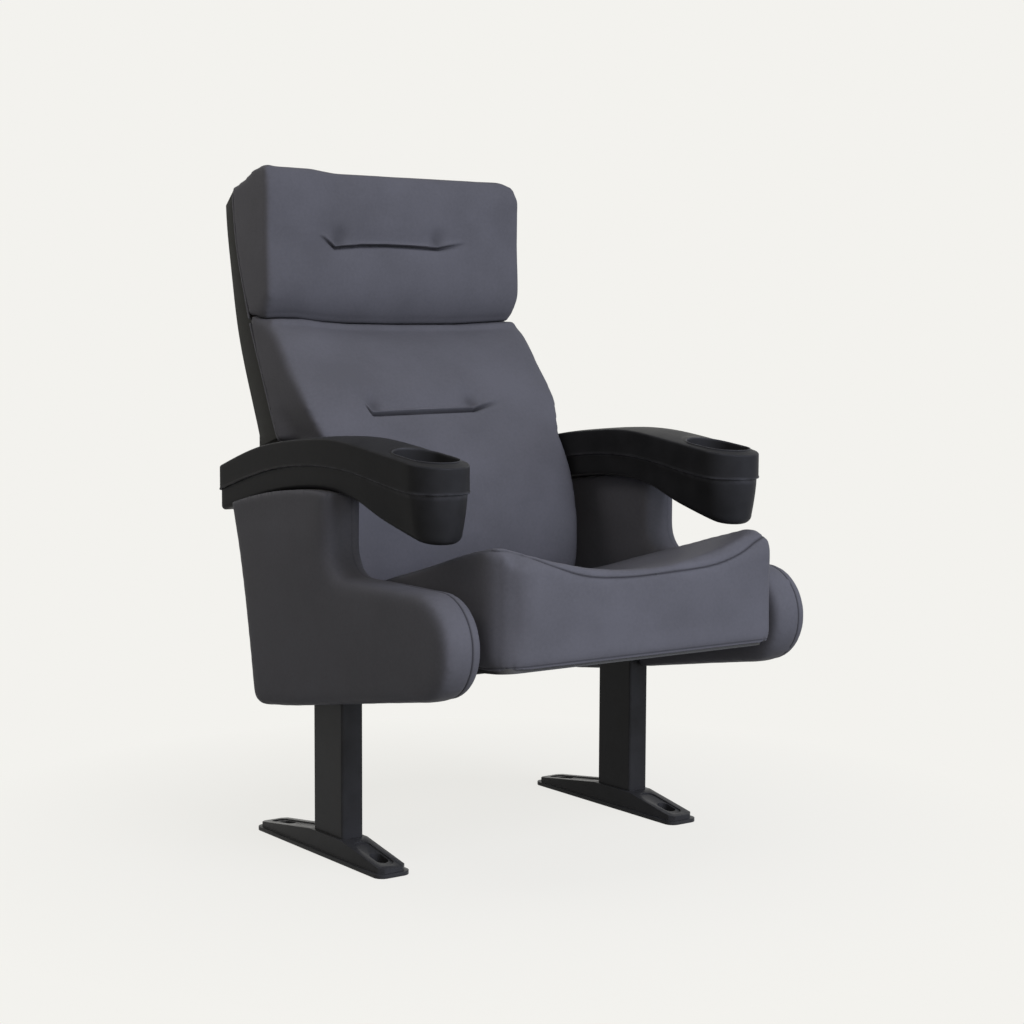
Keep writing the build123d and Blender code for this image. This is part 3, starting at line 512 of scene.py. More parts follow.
def panel(side):
    def below(co):
        """How far points lie below the armrest."""
        return ARM_UNDER(co[:, 1]) - LID_GAP - co[:, 2]

    def eased(co):
        return step(below(co), 4, 22)

    def swelling(co, n):
        flat = np.where(np.abs(n[:, 0]) > 0.8, 1.0, 0.35)
        return step(below(co), 10, 70) * outer_rim(co) * flat

    def front_part(co):
        nose = 0.35 + 0.65 * step(-co[:, 1], 210, 300)
        return step(below(co), 12, 40) * nose * step(-co[:, 1], 40, 90) * outer_rim(co)

    def shape(piece):
        ease(piece, 6, front_part)
        co = read(piece)
        y, z = co[:, 1], co[:, 2]
        rear = PANEL_REAR_LOW + (z - PANEL_LOW_Z) * PANEL_REAR_LEAN
        lower = PANEL_REAR_OUT_LOW - PANEL_REAR_OUT
        amount = PANEL_REAR_OUT + lower * (1 - step(z, PANEL_LOW_Z, PANEL_LOW_Z + 200))
        out = amount * step(y - rear, -100, 0) * outer_rim(co)
        top_corner = step(z, 440, 530) * step(y, 120, 222)
        co[:, 1] = y + out + PANEL_CORNER_OUT * top_corner
        co[:, 2] = z - PANEL_SAG * (1 - step(z, PANEL_LOW_Z, PANEL_LOW_Z + 80))
        write(piece, co)

    piece = pad(
        f"{side}_panel_pad", f"{side}_panel_cover", eased, swelling, shape,
        voxel=5.5, rounds=4, crown=4.0,
    )
    co, n = read(piece), normals(piece)
    under = ARM_UNDER(co[:, 1]) - LID_GAP
    top = (under - co[:, 2] < 7) & (n[:, 2] > 0.3)
    co[:, 2] = np.where(top, under, np.minimum(co[:, 2], under))
    write(piece, co)
    outer_x = PANEL_IN + PANEL_T if side == "right" else -PANEL_IN
    sew_panel(piece, outer_x - PANEL_SEAM_IN)
    return piece


# seat cushion: heights of its front seam and of the roll above it, as (x, z)

SEAT_SEAM = Line(
    [
        (-300, 506), (-258, 507), (-235, 507.5), (-212, 501.5), (-170, 485.5), (-127, 469.5),
        (-60, 459.5), (0, 458.5), (40, 460), (95, 462), (146, 467.5), (203, 485.2), (241, 500.3),
        (258, 504), (300, 505),
    ]
)
SEAT_CREST = Line(
    [
        (-258, 504), (-242, 511.5), (-224, 515.5), (-205, 514.5), (-185, 509), (-149, 496.5),
        (-106, 483.5), (-46, 477.5), (0, 477), (46, 477.5), (106, 482), (150, 492), (190, 505),
        (215, 512.5), (238, 516.5), (258, 509),
    ]
)
# fall of the side wings below their highest point, as (y, z)
SEAT_WING = Line(
    [(60, -103), (-31, -87), (-70, -75), (-191, -42), (-316, -6), (-352, 0), (-400, 0)]
)
CREST_Y = -352.0         # the roll starts here
WING_TOP = 518.5
WING_FLAT = (228, 205)   # on +X and -X: a wing's top is flat out to here
WING_DROP = (9, 15)      # and falls by this to the side
SEAT_LEFT_R = 60.0       # the cover's front corner on -X seen from above
SEAT_LEFT_LOW_R = 42.0   # and at its lower edge, where it covers the pan's corner
SEAT_RIGHT_R = 14.0
SEAT_CAD_R = 26.0
SKIRT = PAN_T + 0.3      # the cover's skirt hangs over the pan's edge
LOW_SEAM_UP = 8.0        # lower seam above the cover's lower edge


def seat_seam(x, y, z):
    """Height of the seam round the seat's side and front."""
    return SEAT_SEAM(x) + np.where(y > CREST_Y, SEAT_WING(y), 0)


def seat():
    pan_slope = math.tan(math.radians(SEAT_TILT))

    def above_pan(co):
        return co[:, 2] - (PAN_Z + SKIRT - co[:, 1] * pan_slope)

    def without_skirt(co):
        low = above_pan(co) < -SKIRT / 2
        co[low, 2] = (PAN_Z + SKIRT - co[:, 1] * pan_slope)[low]
        return co

    def eased(co):
        return 0.25 + 0.75 * step(above_pan(co), 4, 24)

    def swelling(co, n):
        rise = step(above_pan(co), 10, 60)
        return rise * (1 - 0.9 * np.abs(n[:, 0])) * (1 - step(co[:, 1], 20, 60))

    def round_corners(co):
        x, y = co[:, 0], co[:, 1]
        radius = SEAT_LEFT_LOW_R + (SEAT_LEFT_R - SEAT_LEFT_LOW_R) * step(above_pan(co), 0, 60)
        radius = np.where(x > 0, SEAT_RIGHT_R, radius)
        half = SEAT_LEFT_R
        a, b = np.abs(x) - (SEAT_HALF - half), (SEAT_FRONT + half) - y
        a, b = reshape_corner(a, b, half, SEAT_CAD_R, radius)
        co[:, 0], co[:, 1] = np.sign(x) * (a + SEAT_HALF - half), SEAT_FRONT + half - b
        return co

    def lower_skirt(co):
        """Brings the lowest rim down over the pan's edge."""
        x, y = co[:, 0], co[:, 1]
        radius = np.where(x > 0, SEAT_RIGHT_R, SEAT_LEFT_LOW_R)
        half = np.array([SEAT_HALF, (SEAT_REAR - SEAT_FRONT) / 2])
        from_mid = np.abs(np.stack([x, y - (SEAT_REAR + SEAT_FRONT) / 2], 1))
        past = from_mid - half + radius[:, None]
        out = np.linalg.norm(np.maximum(past, 0), axis=1) + np.minimum(past.max(1), 0) - radius
        rim = (1 - step(-out, 4.0, 7.5)) * (1 - step(above_pan(co), 4.0, 9.0))
        co[:, 2] -= (SKIRT + 0.6) * rim
        return co

    def shape(piece):
        co = round_corners(read(piece))
        x, y, z = co.T
        seam, crest = SEAT_SEAM(x), SEAT_CREST(x)
        back = np.clip((CREST_Y - y) / (CREST_Y - SEAT_FRONT + 1.0), 0, 1)
        roll = seam + (crest - seam) * np.sqrt(1 - back**2)
        slope = 0.25 * np.clip(y - CREST_Y, 0, 60)
        limit = np.where(y < CREST_Y, roll, crest + 8 * step(y, CREST_Y, CREST_Y + 60) - slope)
        blend = 1 - step(y, CREST_Y + 30, CREST_Y + 90)
        co[:, 2] = z - np.maximum(z - limit, 0) * blend
        flat, drop = np.where(x > 0, *WING_FLAT), np.where(x > 0, *WING_DROP)
        edge = np.clip((np.abs(x) - flat) / (SEAT_HALF - flat), 0, 1)
        wing_limit = WING_TOP + SEAT_WING(y) - drop * edge**2
        co[:, 2] = np.where(y > CREST_Y, np.minimum(co[:, 2], wing_limit), co[:, 2])
        write(piece, co)
        ease(piece, 5, lambda c: step(c[:, 2] - seat_seam(*c.T), -14, 2))
        ease(piece, 6, lambda c: (1 - step(above_pan(c), 2, 14)) * step(-c[:, 1], 300, 350) * 0.6)
        write(piece, lower_skirt(read(piece)))

    piece = pad(
        "seat_cushion", "seat_cover", eased, swelling, shape, rounds=5, prepare=without_skirt
    )

    def on_side(points):
        return (points[:, 1] < SEAT_FRONT + 44) | (np.abs(points[:, 0]) > SEAT_HALF - 26)

    def near_seam(points):
        return (np.abs(points[:, 2] - seat_seam(*points.T)) < SEAM_REACH) & on_side(points)

    cut(piece, seat_seam, SEAM_CUTS, near_seam)

    def low_seam(x, y, z):
        return PAN_Z + LOW_SEAM_UP - y * pan_slope

    def near_low(points):
        return (np.abs(points[:, 2] - low_seam(*points.T)) < SEAM_REACH) & on_side(points)

    cut(piece, low_seam, SEAM_CUTS, near_low)

    def from_seams(co, n):
        """Height above each seam, and 1 on the upright faces of the sides and front."""
        upright = 1 - step(np.abs(n[:, 2]), 0.8, 0.95)
        return co[:, 2] - seat_seam(*co.T), co[:, 2] - low_seam(*co.T), on_side(co) * upright

    def depth(co, n):
        off, low, sewn = from_seams(co, n)
        faint = 1 - 0.6 * step(co[:, 1], SEAT_FRONT + 30, SEAT_FRONT + 70)
        top = (SEAM_DEPTH * bell(off, 1.1) + 1.0 * bell(off, 7)) * faint
        return sewn * (top + 0.9 * bell(low, 1.1) + 0.5 * bell(low, 4))

    def shade(co, n):
        off, low, sewn = from_seams(co, n)
        # painted shade along both seams
        return sewn * (0.9 * bell(off, 1.5) + 0.7 * bell(low, 1.5))

    press(piece, depth, shade)
    return piece


# back cushions: pulled lines as (x, z), a stitched part between two creases

HEAD_STITCHED = (-129.6, 77.8)
HEAD_TUFT = [
    (-166, 972), (-150, 966), (HEAD_STITCHED[0], 951.4), (-80, 956), (-28.8, 957.6), (25, 956.6),
    (HEAD_STITCHED[1], 954.8), (100, 959), (143, 966),
]
BACK_STITCHED = (-137.3, 66.9)
BACK_TUFT = [
    (-148, 699), (BACK_STITCHED[0], 680.4), (-80, 681.2), (-41, 681.9), (15, 682.8),
    (BACK_STITCHED[1], 683.6), (90, 689), (130, 697),
]
TUFT_CUTS = (-9, -6, -3.6, -1.8, 0, 1.8, 3.4, 5.2, 8, 12)
TUFT_REACH = 30.0        # faces nearer than this to a pulled line are cut for it
FRONT_FROM = 30.0        # points this far before the board belong to a cushion's front
CREASE_WAVE = [
    (-257, 3), (-230, 5), (-190, 5), (-150, 0), (-100, -3), (0, -4), (130, -3), (240, 3),
]
CREASE_STEP = 5.0        # rise of the crease behind the headrest's front roll
CREASE_FACE = {1: 0.2, -1: -0.8}  # headrest's and lower cushion's face, from the crease's height


def before_board(co):
    return BOARD(co[:, 2]) - co[:, 1]


def pull(piece, line, stitched_ends, pinch):
    """Pulled line across the front of a cushion: groove, ridge above it, dimples and creases.

    stitched_ends are where its stitches begin and end along X, and pinch is the dimples' depth.
    """
    places, heights = np.array(line, float).T
    left_end, right_end = stitched_ends

    def height(x, y, z):
        return np.interp(x, places, heights)

    def on_front(points):
        return before_board(points) > FRONT_FROM

    def near_line(points):
        x = points[:, 0]
        close = np.abs(points[:, 2] - height(*points.T)) < TUFT_REACH
        return on_front(points) & close & (x > places[0] - 20) & (x < places[-1] + 20)

    def parts(x):
        """Strength of the whole line and of its stitched part along X."""
        whole = step(x, places[0], left_end) * (1 - step(x, right_end, places[-1]))
        rise, fall = step(x, left_end - 5, left_end + 2), step(x, right_end - 2, right_end + 7)
        return whole, rise * (1 - fall)

    cut(piece, height, TUFT_CUTS, near_line)

    def depth(co, n):
        x = co[:, 0]
        off = co[:, 2] - height(*co.T)
        along, stitched = parts(x)
        wide = step(x, left_end - 60, left_end + 20) * (1 - step(x, right_end - 10, right_end + 90))
        # each term is a depth in millimetres, times where it lies
        groove = (5.4 * along + 3.8 * stitched) * bell(off + 0.3, 2.2)
        ridge = 3.2 * stitched * bell(off - 4.0, 1.9)
        fold = 3.0 * along * (1 - stitched) * bell(off - 5.0, 3.5)
        dimples = 0
        for place, share in ((left_end + 9, 1.0), (right_end - 2, 0.9)):
            away = np.hypot((x - place) / 15, (off - 19) / 15)
            dimples = dimples + share * pinch * np.exp(-(away**2))
        sunk = (3.4 * bell(off - 4, 22) * wide + dimples) * on_front(co)
        return near_line(co) * (groove - ridge - fold) + sunk

    def shade(co, n):
        x = co[:, 0]
        off = co[:, 2] - height(*co.T)
        along, stitched = parts(x)
        # painted shade along the pulled line and in the dimples above its ends
        hollow = near_line(co) * along * bell(off + 0.5, 3.4 - 1.4 * stitched)
        for place in (left_end + 9, right_end - 2):
            away = np.hypot((x - place) / 11, (off - 13) / 10)
            hollow = hollow + 0.5 * np.exp(-(away**2)) * on_front(co)
        return hollow

    press(piece, depth, shade)


def crease_lift(co):
    """The crease between headrest and back waves along X and steps up behind its front roll."""
    x, y, z = co.T
    wave = np.interp(x, *np.array(CREASE_WAVE, float).T)
    return (wave + CREASE_STEP * step(y, 296, 318)) * bell(z - HEAD_CREASE, 40)


def close_crease(piece, side):
    """Draws the face at the crease flat, and moves it to the waving line; side 1 is above it."""
    co, n = read(piece), normals(piece)
    off = (co[:, 2] - HEAD_CREASE) * side
    facing = step(-n[:, 2] * side, 0.75, 0.95) * (off < 9)
    co[:, 2] += facing * (HEAD_CREASE + CREASE_FACE[side] - co[:, 2])
    co[:, 2] += crease_lift(co)
    write(piece, co)


BACK_SIDE = (8.0, 60.0)  # before the board, where the sides' widening starts to fade and ends


def widen_rear(piece):
    """Moves the sides of the back out at their rear edge."""
    co = read(piece)
    x, y, z = co.T
    rear = 1 - step(BOARD(z) - y, *BACK_SIDE)
    side = step(np.abs(x), 0.75 * back_half(z), 0.92 * back_half(z))
    co[:, 0] = x + np.sign(x) * rear_growth(y, z) * rear * side
    write(piece, co)


def crisp_left(co):
    """Less easing at the front edge on -X, which is sewn sharper than the other."""
    from_side = back_half(co[:, 2]) + co[:, 0]
    return 1 - 0.8 * (1 - step(from_side, 10, 26))


def back_edges(co):
    """Easing of a back cushion: little where it lies on the board."""
    return (0.3 + 0.7 * step(before_board(co), 3, 24)) * crisp_left(co)


def lower_back():
    def swelling(co, n):
        side = 1 - 0.92 * np.abs(n[:, 0])
        crease = 1 - step(np.abs(n[:, 2]), 0.6, 0.9)
        low = step(co[:, 2], BACK_BOTTOM, BACK_BOTTOM + 60)
        return step(before_board(co), 8, 60) * side * crease * low

    def shape(piece):
        ease(piece, 8, lambda co: step(before_board(co), 25, 60))
        widen_rear(piece)
        close_crease(piece, -1)

    piece = pad("back_cushion", "lower_back_cover", back_edges, swelling, shape)
    pull(piece, BACK_TUFT, BACK_STITCHED, 5.0)
    return piece


HEAD_CAD_R = 24.0        # top corners of the solid, and of the cover on +X and -X
HEAD_RIGHT_R = 42.0
HEAD_LEFT_R = 13.0
HEAD_PUFF = 6.0          # the top stands higher toward -X


def head():
    def eased(co):
        return back_edges(co) * (1 - 0.4 * step(co[:, 2], 1040, 1070))

    def swelling(co, n):
        crease = 1 - step(-n[:, 2], 0.6, 0.9)
        sides = (1 - 0.7 * np.abs(n[:, 0])) * (1 - 0.6 * np.abs(n[:, 2]))
        return step(before_board(co), 8, 60) * sides * crease

    def lower_edge(co):
        return (1 - step(co[:, 2], 838, 884)) * step(before_board(co), 20, 40)

    def top_corners(co):
        """The top corner on +X is rounder than in the CAD solid, and the other one sharper."""
        for side, new in ((1, HEAD_RIGHT_R), (-1, HEAD_LEFT_R)):
            half = max(HEAD_CAD_R, new)
            a, b = side * co[:, 0] - (HEAD_HALF - half), co[:, 2] - (HEAD_TOP - half)
            here = (a > 0) & (b > 0)
            a, b = reshape_corner(a, b, half, HEAD_CAD_R, new)
            co[:, 0] = np.where(here, side * (a + HEAD_HALF - half), co[:, 0])
            co[:, 2] = np.where(here, b + HEAD_TOP - half, co[:, 2])
        return co

    def shape(piece):
        ease(piece, 12, lower_edge)
        co = top_corners(read(piece))
        x, y, z = co.T
        puff = step(-x, 110, 175) * step(z, 1000, 1075) * (1 - 0.5 * step(y, 300, 380))
        co[:, 2] = z + HEAD_PUFF * puff
        write(piece, co)
        close_crease(piece, 1)

    piece = pad("head_cushion", "headrest_cover", eased, swelling, shape)
    pull(piece, HEAD_TUFT, HEAD_STITCHED, 7.0)
    return piece


# ---------------------------------------------------------------- armrests

# points of half a loop round an armrest, from its rear middle to its tip
REAR_STEPS, CORNER_STEPS, SIDE_STEPS, TAPER_STEPS, NOSE_STEPS = 5, 6, 46, 14, 22
ARM_CORNER_R = 9.0


def mirror_half(half):
    """Closed loop from its +X half, which runs from the rear middle to the tip."""
    half = np.asarray(half)
    other = half[1:-1][::-1] * (-1, 1)
    return np.concatenate([half, other])


def arm_loop(inset, nose_in=0.0):
    """Plan of the armrest round its own middle, as (x, y)."""
    front, rear = ARM_HALF_FRONT - inset, ARM_HALF_REAR - inset
    end, nose = ARM_REAR - inset, ARM_HALF_FRONT - inset - nose_in
    r = max(ARM_CORNER_R - inset, 1.0)
    half = [(t * (rear - r) / REAR_STEPS, end) for t in range(REAR_STEPS)]
    for k in range(CORNER_STEPS):
        a = math.radians(90 - 90 * k / CORNER_STEPS)
        half.append((rear - r + r * math.cos(a), end - r + r * math.sin(a)))
    for k in range(SIDE_STEPS):
        t = k / SIDE_STEPS
        half.append((rear + t * (front - rear), end - r + t * (ARM_NOSE_START - end + r)))
    for k in range(TAPER_STEPS):
        t = k / TAPER_STEPS
        y = ARM_NOSE_START + t * (ARM_END_Y - ARM_NOSE_START)
        half.append((front - nose_in * t * t * (3 - 2 * t), y))
    for k in range(NOSE_STEPS + 1):
        a = math.radians(90 * k / NOSE_STEPS)
        half.append((nose * math.cos(a), ARM_END_Y - nose * math.sin(a)))
    half[-1] = (0.0, half[-1][1])
    return mirror_half(half)


def cup_loop(radius):
    """Plan of the cup well, its points matched to those of arm_loop."""
    straight = 6
    rear = REAR_STEPS + CORNER_STEPS + SIDE_STEPS + TAPER_STEPS - straight
    half = []
    for k in range(rear):
        a = math.radians(90 - 90 * k / rear)
        half.append((radius * math.cos(a), CUP_REAR_Y + radius * math.sin(a)))
    for k in range(straight):
        half.append((radius, CUP_REAR_Y + (CUP_FRONT_Y - CUP_REAR_Y) * k / straight))
    for k in range(NOSE_STEPS + 1):
        a = math.radians(90 * k / NOSE_STEPS)
        half.append((radius * math.cos(a), CUP_FRONT_Y - radius * math.sin(a)))
    half[0] = (0.0, half[0][1])
    half[-1] = (0.0, half[-1][1])
    return mirror_half(half)


def half_width(y):
    """Half the width of the armrest's top."""
    return np.interp(y, [ARM_NOSE_START, ARM_REAR], [ARM_HALF_FRONT, ARM_HALF_REAR])


ARM_DOME = 3.0   # the top rises by this over its middle
NOSE_DOME = 2.5  # and by this more over the round end


def arm_top(loop):
    """Height of the domed top over plan points."""
    x, y = loop[:, 0], loop[:, 1]
    dome = ARM_DOME + NOSE_DOME * step(-y, 180, 264)
    from_middle = np.hypot(x / half_width(y), np.minimum(y - ARM_END_Y, 0) / ARM_HALF_FRONT)
    return ARM_TOP(y) + dome * (1 - np.clip(from_middle, 0, 1) ** 2)


def ring(loop, z):
    return np.column_stack([loop[:, 0], loop[:, 1], np.broadcast_to(z, len(loop))])


RUNGS = 8  # faces across the last ring


def stack(name, rings, side):
    """Skin through matched rings, its last ring filled across, moved to its side."""
    count = len(rings[0])
    points = np.concatenate(rings)
    faces = []
    for level in range(len(rings) - 1):
        low, high = level * count, (level + 1) * count
        for i in range(count):
            j = (i + 1) % count
            faces.append((low + i, low + j, high + j, high + i))
    last = (len(rings) - 1) * count
    half = count // 2
    grid = {}
    extra = []
    for i in range(half + 1):
        opposite = (count - i) % count
        grid[i, 0], grid[i, RUNGS] = last + i, last + opposite
        for k in range(1, RUNGS):
            t = k / RUNGS
            grid[i, k] = len(points) + len(extra)
            extra.append(rings[-1][i] * (1 - t) + rings[-1][opposite] * t)
    points = np.concatenate([points, extra])
    for i in range(half):
        for k in range(RUNGS):
            faces.append((grid[i, k], grid[i, k + 1], grid[i + 1, k + 1], grid[i + 1, k]))
    points = points + ((ARM_X if side == "right" else -ARM_X), 0, 0)
    return make(name, points, faces)


LIP = 0.9            # the cap's lower edge stands out by this
LIP_TOP = 5.0        # and its wall is plain from here up
EDGE_R = 3.5
WALL = 2.6
NOSE_TOE_IN = 3.5    # the round end stands in by this, toward the seat
CUP_LIP = 2.6        # flat rim round the cup well
CUP_MOUTH_IN = 0.3   # the well's mouth, from the lip's inner edge
CUP_FOOT_R = 6.0     # rounding between the well's wall and floor


def moulding(name, rings, side):
    """Hollow moulding whose outer skin runs through the rings."""
    toe_in(rings, side)
    piece = stack(name, rings, side)
    shell = piece.modifiers.new("Wall", "SOLIDIFY")
    shell.thickness = WALL * MM
    shell.offset = -1
    freeze(piece)
    return piece


def toe_in(rings, side):
    """Bends the rings' front end toward the seat."""
    sign = -1 if side == "right" else 1
    for loop in rings:
        loop[:, 0] += sign * NOSE_TOE_IN * step(-loop[:, 1], 0, 250)


def arm_cap(side):
    """Top shell of an armrest: lipped wall, domed top and cup well in one moulding."""
    rings = []
    lower_edge = (
        (0.9, 0.0), (-LIP * 0.3, 0.3), (-LIP, 1.3), (-LIP, 2.6), (-0.1, 4.2), (0, LIP_TOP),
    )
    for inset, rise in lower_edge:
        loop = arm_loop(inset)
        rings.append(ring(loop, ARM_SPLIT(loop[:, 1]) + rise))
    wall = arm_loop(0)
    low, high = ARM_SPLIT(wall[:, 1]) + LIP_TOP, arm_top(wall) - EDGE_R
    for t in (0.25, 0.5, 0.75, 1.0):
        rings.append(ring(wall, low + t * (high - low)))
    for k in range(1, 6):
        a = math.radians(18 * k)
        loop = arm_loop(EDGE_R * (1 - math.cos(a)))
        rings.append(ring(loop, arm_top(wall) - EDGE_R * (1 - math.sin(a))))
    outer = arm_loop(EDGE_R)
    rim = cup_loop(CUP_R + CUP_LIP)
    for t in np.linspace(0, 1, 26)[1:]:
        loop = outer * (1 - t) + rim * t
        rings.append(ring(loop, arm_top(loop) + (arm_top(wall) - arm_top(outer)) * (1 - t)))
    for grow, rise in ((2.2, 1.0), (1.6, 1.7), (0.8, 1.7), (0.1, 0.9), (-0.2, -1.6)):
        loop = cup_loop(CUP_R + grow)
        rings.append(ring(loop, arm_top(loop) + rise))
    mouth_r = CUP_R - CUP_MOUTH_IN
    high = arm_top(cup_loop(mouth_r)) - 4
    for t in np.linspace(0, 1, 9):
        radius = mouth_r + t * (CUP_FLOOR_R - mouth_r)
        rings.append(ring(cup_loop(radius), high + t * (CUP_FLOOR + CUP_FOOT_R - high)))
    for k in range(1, 5):
        a = math.radians(22.5 * k)
        loop = cup_loop(CUP_FLOOR_R - CUP_FOOT_R * (1 - math.cos(a)))
        rings.append(ring(loop, CUP_FLOOR + CUP_FOOT_R * (1 - math.sin(a))))
    for radius in (18.0, 8.0, 1.0):
        rings.append(ring(cup_loop(radius), CUP_FLOOR))
    return moulding(f"{side}_armrest_top", rings, side)


UNDER_R = 8.0   # rounding of the casing's lower edge, and at its round end
BULB_R = 15.0
BULB = 6.0      # the round end hangs this much lower than the CAD curve
BULB_IN = 0.7 * ARM_NOSE_IN


def arm_casing(side):
    """Lower shell of an armrest: its round end narrows down to a soft lower edge."""
    rings = []
    start = arm_loop(ARM_STEP)
    for rise in (3.5, 0.0):
        rings.append(ring(start, ARM_SPLIT(start[:, 1]) + rise))

    def under(y):
        return ARM_UNDER(y) - BULB * step(-y, 110, 200)

    def at_end(loop):
        return step(-loop[:, 1], 150, 280)

    for t in (0.15, 0.35, 0.55, 0.75, 1.0):
        loop = arm_loop(ARM_STEP, BULB_IN * t**1.5)
        soft = UNDER_R + (BULB_R - UNDER_R) * at_end(loop)
        top, low = ARM_SPLIT(loop[:, 1]), under(loop[:, 1]) + soft
        rings.append(ring(loop, top + t * (low - top)))
    for k in range(1, 8):
        a = math.radians(90 * k / 7)
        front = ARM_STEP + BULB_R * (1 - math.cos(a))
        rear = ARM_STEP + UNDER_R * (1 - math.cos(a))
        loop, slim = arm_loop(rear, BULB_IN), arm_loop(front, BULB_IN)
        share = at_end(loop)[:, None]
        loop = loop * (1 - share) + slim * share
        soft = UNDER_R + (BULB_R - UNDER_R) * share[:, 0]
        rings.append(ring(loop, under(loop[:, 1]) + soft * (1 - math.sin(a))))
    last = rings[-1][:, :2] * 0.9
    last[:, 1] = rings[-1][:, 1]
    rings.append(ring(last, under(last[:, 1])))
    return moulding(f"{side}_armrest_shell", rings, side)


# ---------------------------------------------------------------- castings and shells

FLAT_ANGLE = math.radians(1.0)    # faces that bend less are joined
BEVEL_ANGLE = math.radians(28)    # edges that bend more are rounded
SHARP_ANGLE = math.radians(32)


def eased_copy(node, name, width, shape=None):
    """CAD solid with its flat faces joined and its edges rounded."""
    piece = solid_copy(node, name)
    if shape:
        shape(piece)
    edit = bmesh.new()
    edit.from_mesh(piece.data)
    bmesh.ops.dissolve_limit(edit, angle_limit=FLAT_ANGLE, verts=edit.verts, edges=edit.edges)
    edit.to_mesh(piece.data)
    edit.free()
    bevel = piece.modifiers.new("Edges", "BEVEL")
    bevel.width = width * MM
    bevel.segments = 3
    bevel.limit_method = "ANGLE"
    bevel.angle_limit = BEVEL_ANGLE
    bevel.use_clamp_overlap = True
    freeze(piece)
    smooth(piece)
    piece.data.set_sharp_from_angle(angle=SHARP_ANGLE)
    return piece


# ---------------------------------------------------------------- beads that follow a path

BEAD_SIDES = 12


def bead_tree():
    """Geometry nodes: a round bead along the path of its input."""
    tree = bpy.data.node_groups.new("welt_bead", "GeometryNodeTree")
    sockets = tree.interface
    sockets.new_socket("Path", in_out="INPUT", socket_type="NodeSocketGeometry")
    radius = sockets.new_socket("Bead Radius", in_out="INPUT", socket_type="NodeSocketFloat")
    spacing = sockets.new_socket("Spacing", in_out="INPUT", socket_type="NodeSocketFloat")
    cover = sockets.new_socket("Cover", in_out="INPUT", socket_type="NodeSocketMaterial")
    sockets.new_socket("Bead", in_out="OUTPUT", socket_type="NodeSocketGeometry")
    node = tree.nodes.new
    source, out = node("NodeGroupInput"), node("NodeGroupOutput")
    path, even = node("GeometryNodeMeshToCurve"), node("GeometryNodeResampleCurve")
    profile, sweep = node("GeometryNodeCurvePrimitiveCircle"), node("GeometryNodeCurveToMesh")
    rounded, real = node("GeometryNodeSetShadeSmooth"), node("GeometryNodeRealizeInstances")
    paint = node("GeometryNodeSetMaterial")
    even.mode = "LENGTH"
    profile.inputs["Resolution"].default_value = BEAD_SIDES
    sweep.inputs["Fill Caps"].default_value = True
    for start, output, end, socket in (
        (source, "Path", path, "Mesh"),
        (path, "Curve", even, "Curve"),
        (source, "Spacing", even, "Length"),
        (source, "Bead Radius", profile, "Radius"),
        (even, "Curve", sweep, "Curve"),
        (profile, "Curve", sweep, "Profile Curve"),
        (sweep, "Mesh", rounded, "Geometry"),
        (rounded, "Geometry", real, "Geometry"),
        (real, "Geometry", paint, "Geometry"),
        (source, "Cover", paint, "Material"),
        (paint, "Geometry", out, "Bead"),
    ):
        tree.links.new(start.outputs[output], end.inputs[socket])
    return tree, radius.identifier, spacing.identifier, cover.identifier


def bead(name, paths, radius, material):
    """Beads along several millimetre paths, as one mesh."""
    points = to_metres(np.concatenate(paths))
    edges, first = [], 0
    for path in paths:
        edges += [(first + i, first + i + 1) for i in range(len(path) - 1)]
        first += len(path)
    mesh = bpy.data.meshes.new(name)
    mesh.from_pydata(points.tolist(), edges, [])
    piece = add_object(name, mesh)
    tree, radius_id, spacing_id, cover_id = BEAD
    sweep = piece.modifiers.new("Welt", "NODES")
    sweep.node_group = tree
    sweep[radius_id] = radius * MM
    sweep[spacing_id] = BEAD_SPACING * MM
    sweep[cover_id] = material
    freeze(piece)
    return piece


BEAD = bead_tree()
BEAD_SPACING = 6.0
WELT_R = 2.0
WELT_IN = 1.8      # its middle, from the back's side and from the board's front face
WELT_BEFORE = 3.6


def back_welt(low, high, material, name):
    """Welt along both rear edges of a back cushion, beside the shell."""
    heights = np.linspace(low, high, 90)
    half = back_half(heights) + rear_growth(BOARD(heights), heights)
    paths = []
    for sign in (-1, 1):
        y = BOARD(heights) - WELT_BEFORE
        paths.append(np.column_stack([sign * (half - WELT_IN), y, heights]))
    return bead(name, paths, WELT_R, material)


# ---------------------------------------------------------------- materials


def group(name, inputs, outputs):
    """Empty shader group with float inputs, a Vector input and named outputs."""
    tree = bpy.data.node_groups.new(name, "ShaderNodeTree")
    tree.interface.new_socket("Vector", in_out="INPUT", socket_type="NodeSocketVector")
    for label, value in inputs.items():
        kind = "NodeSocketColor" if isinstance(value, tuple) else "NodeSocketFloat"
        socket = tree.interface.new_socket(label, in_out="INPUT", socket_type=kind)
        socket.default_value = value
    for label, kind in outputs.items():
        tree.interface.new_socket(label, in_out="OUTPUT", socket_type=kind)
    return tree, tree.nodes.new("NodeGroupInput"), tree.nodes.new("NodeGroupOutput")


def feed(tree, socket, value):
    """A constant or another node's output into a socket."""
    if isinstance(value, (int, float, tuple)):
        socket.default_value = value
    else:
        tree.links.new(value, socket)


def add_node(tree, kind, inputs=(), shared=None):
    """Shader node with its inputs fed; shared is the node group that it stands for."""
    node = tree.nodes.new("ShaderNode" + kind)
    if shared:
        node.node_tree = shared
    for label, value in dict(inputs).items():
        feed(tree, node.inputs[label], value)
    return node


def combine(tree, operation, a, b):
    node = add_node(tree, "Math", {0: a, 1: b})
    node.operation = operation
    return node.outputs[0]


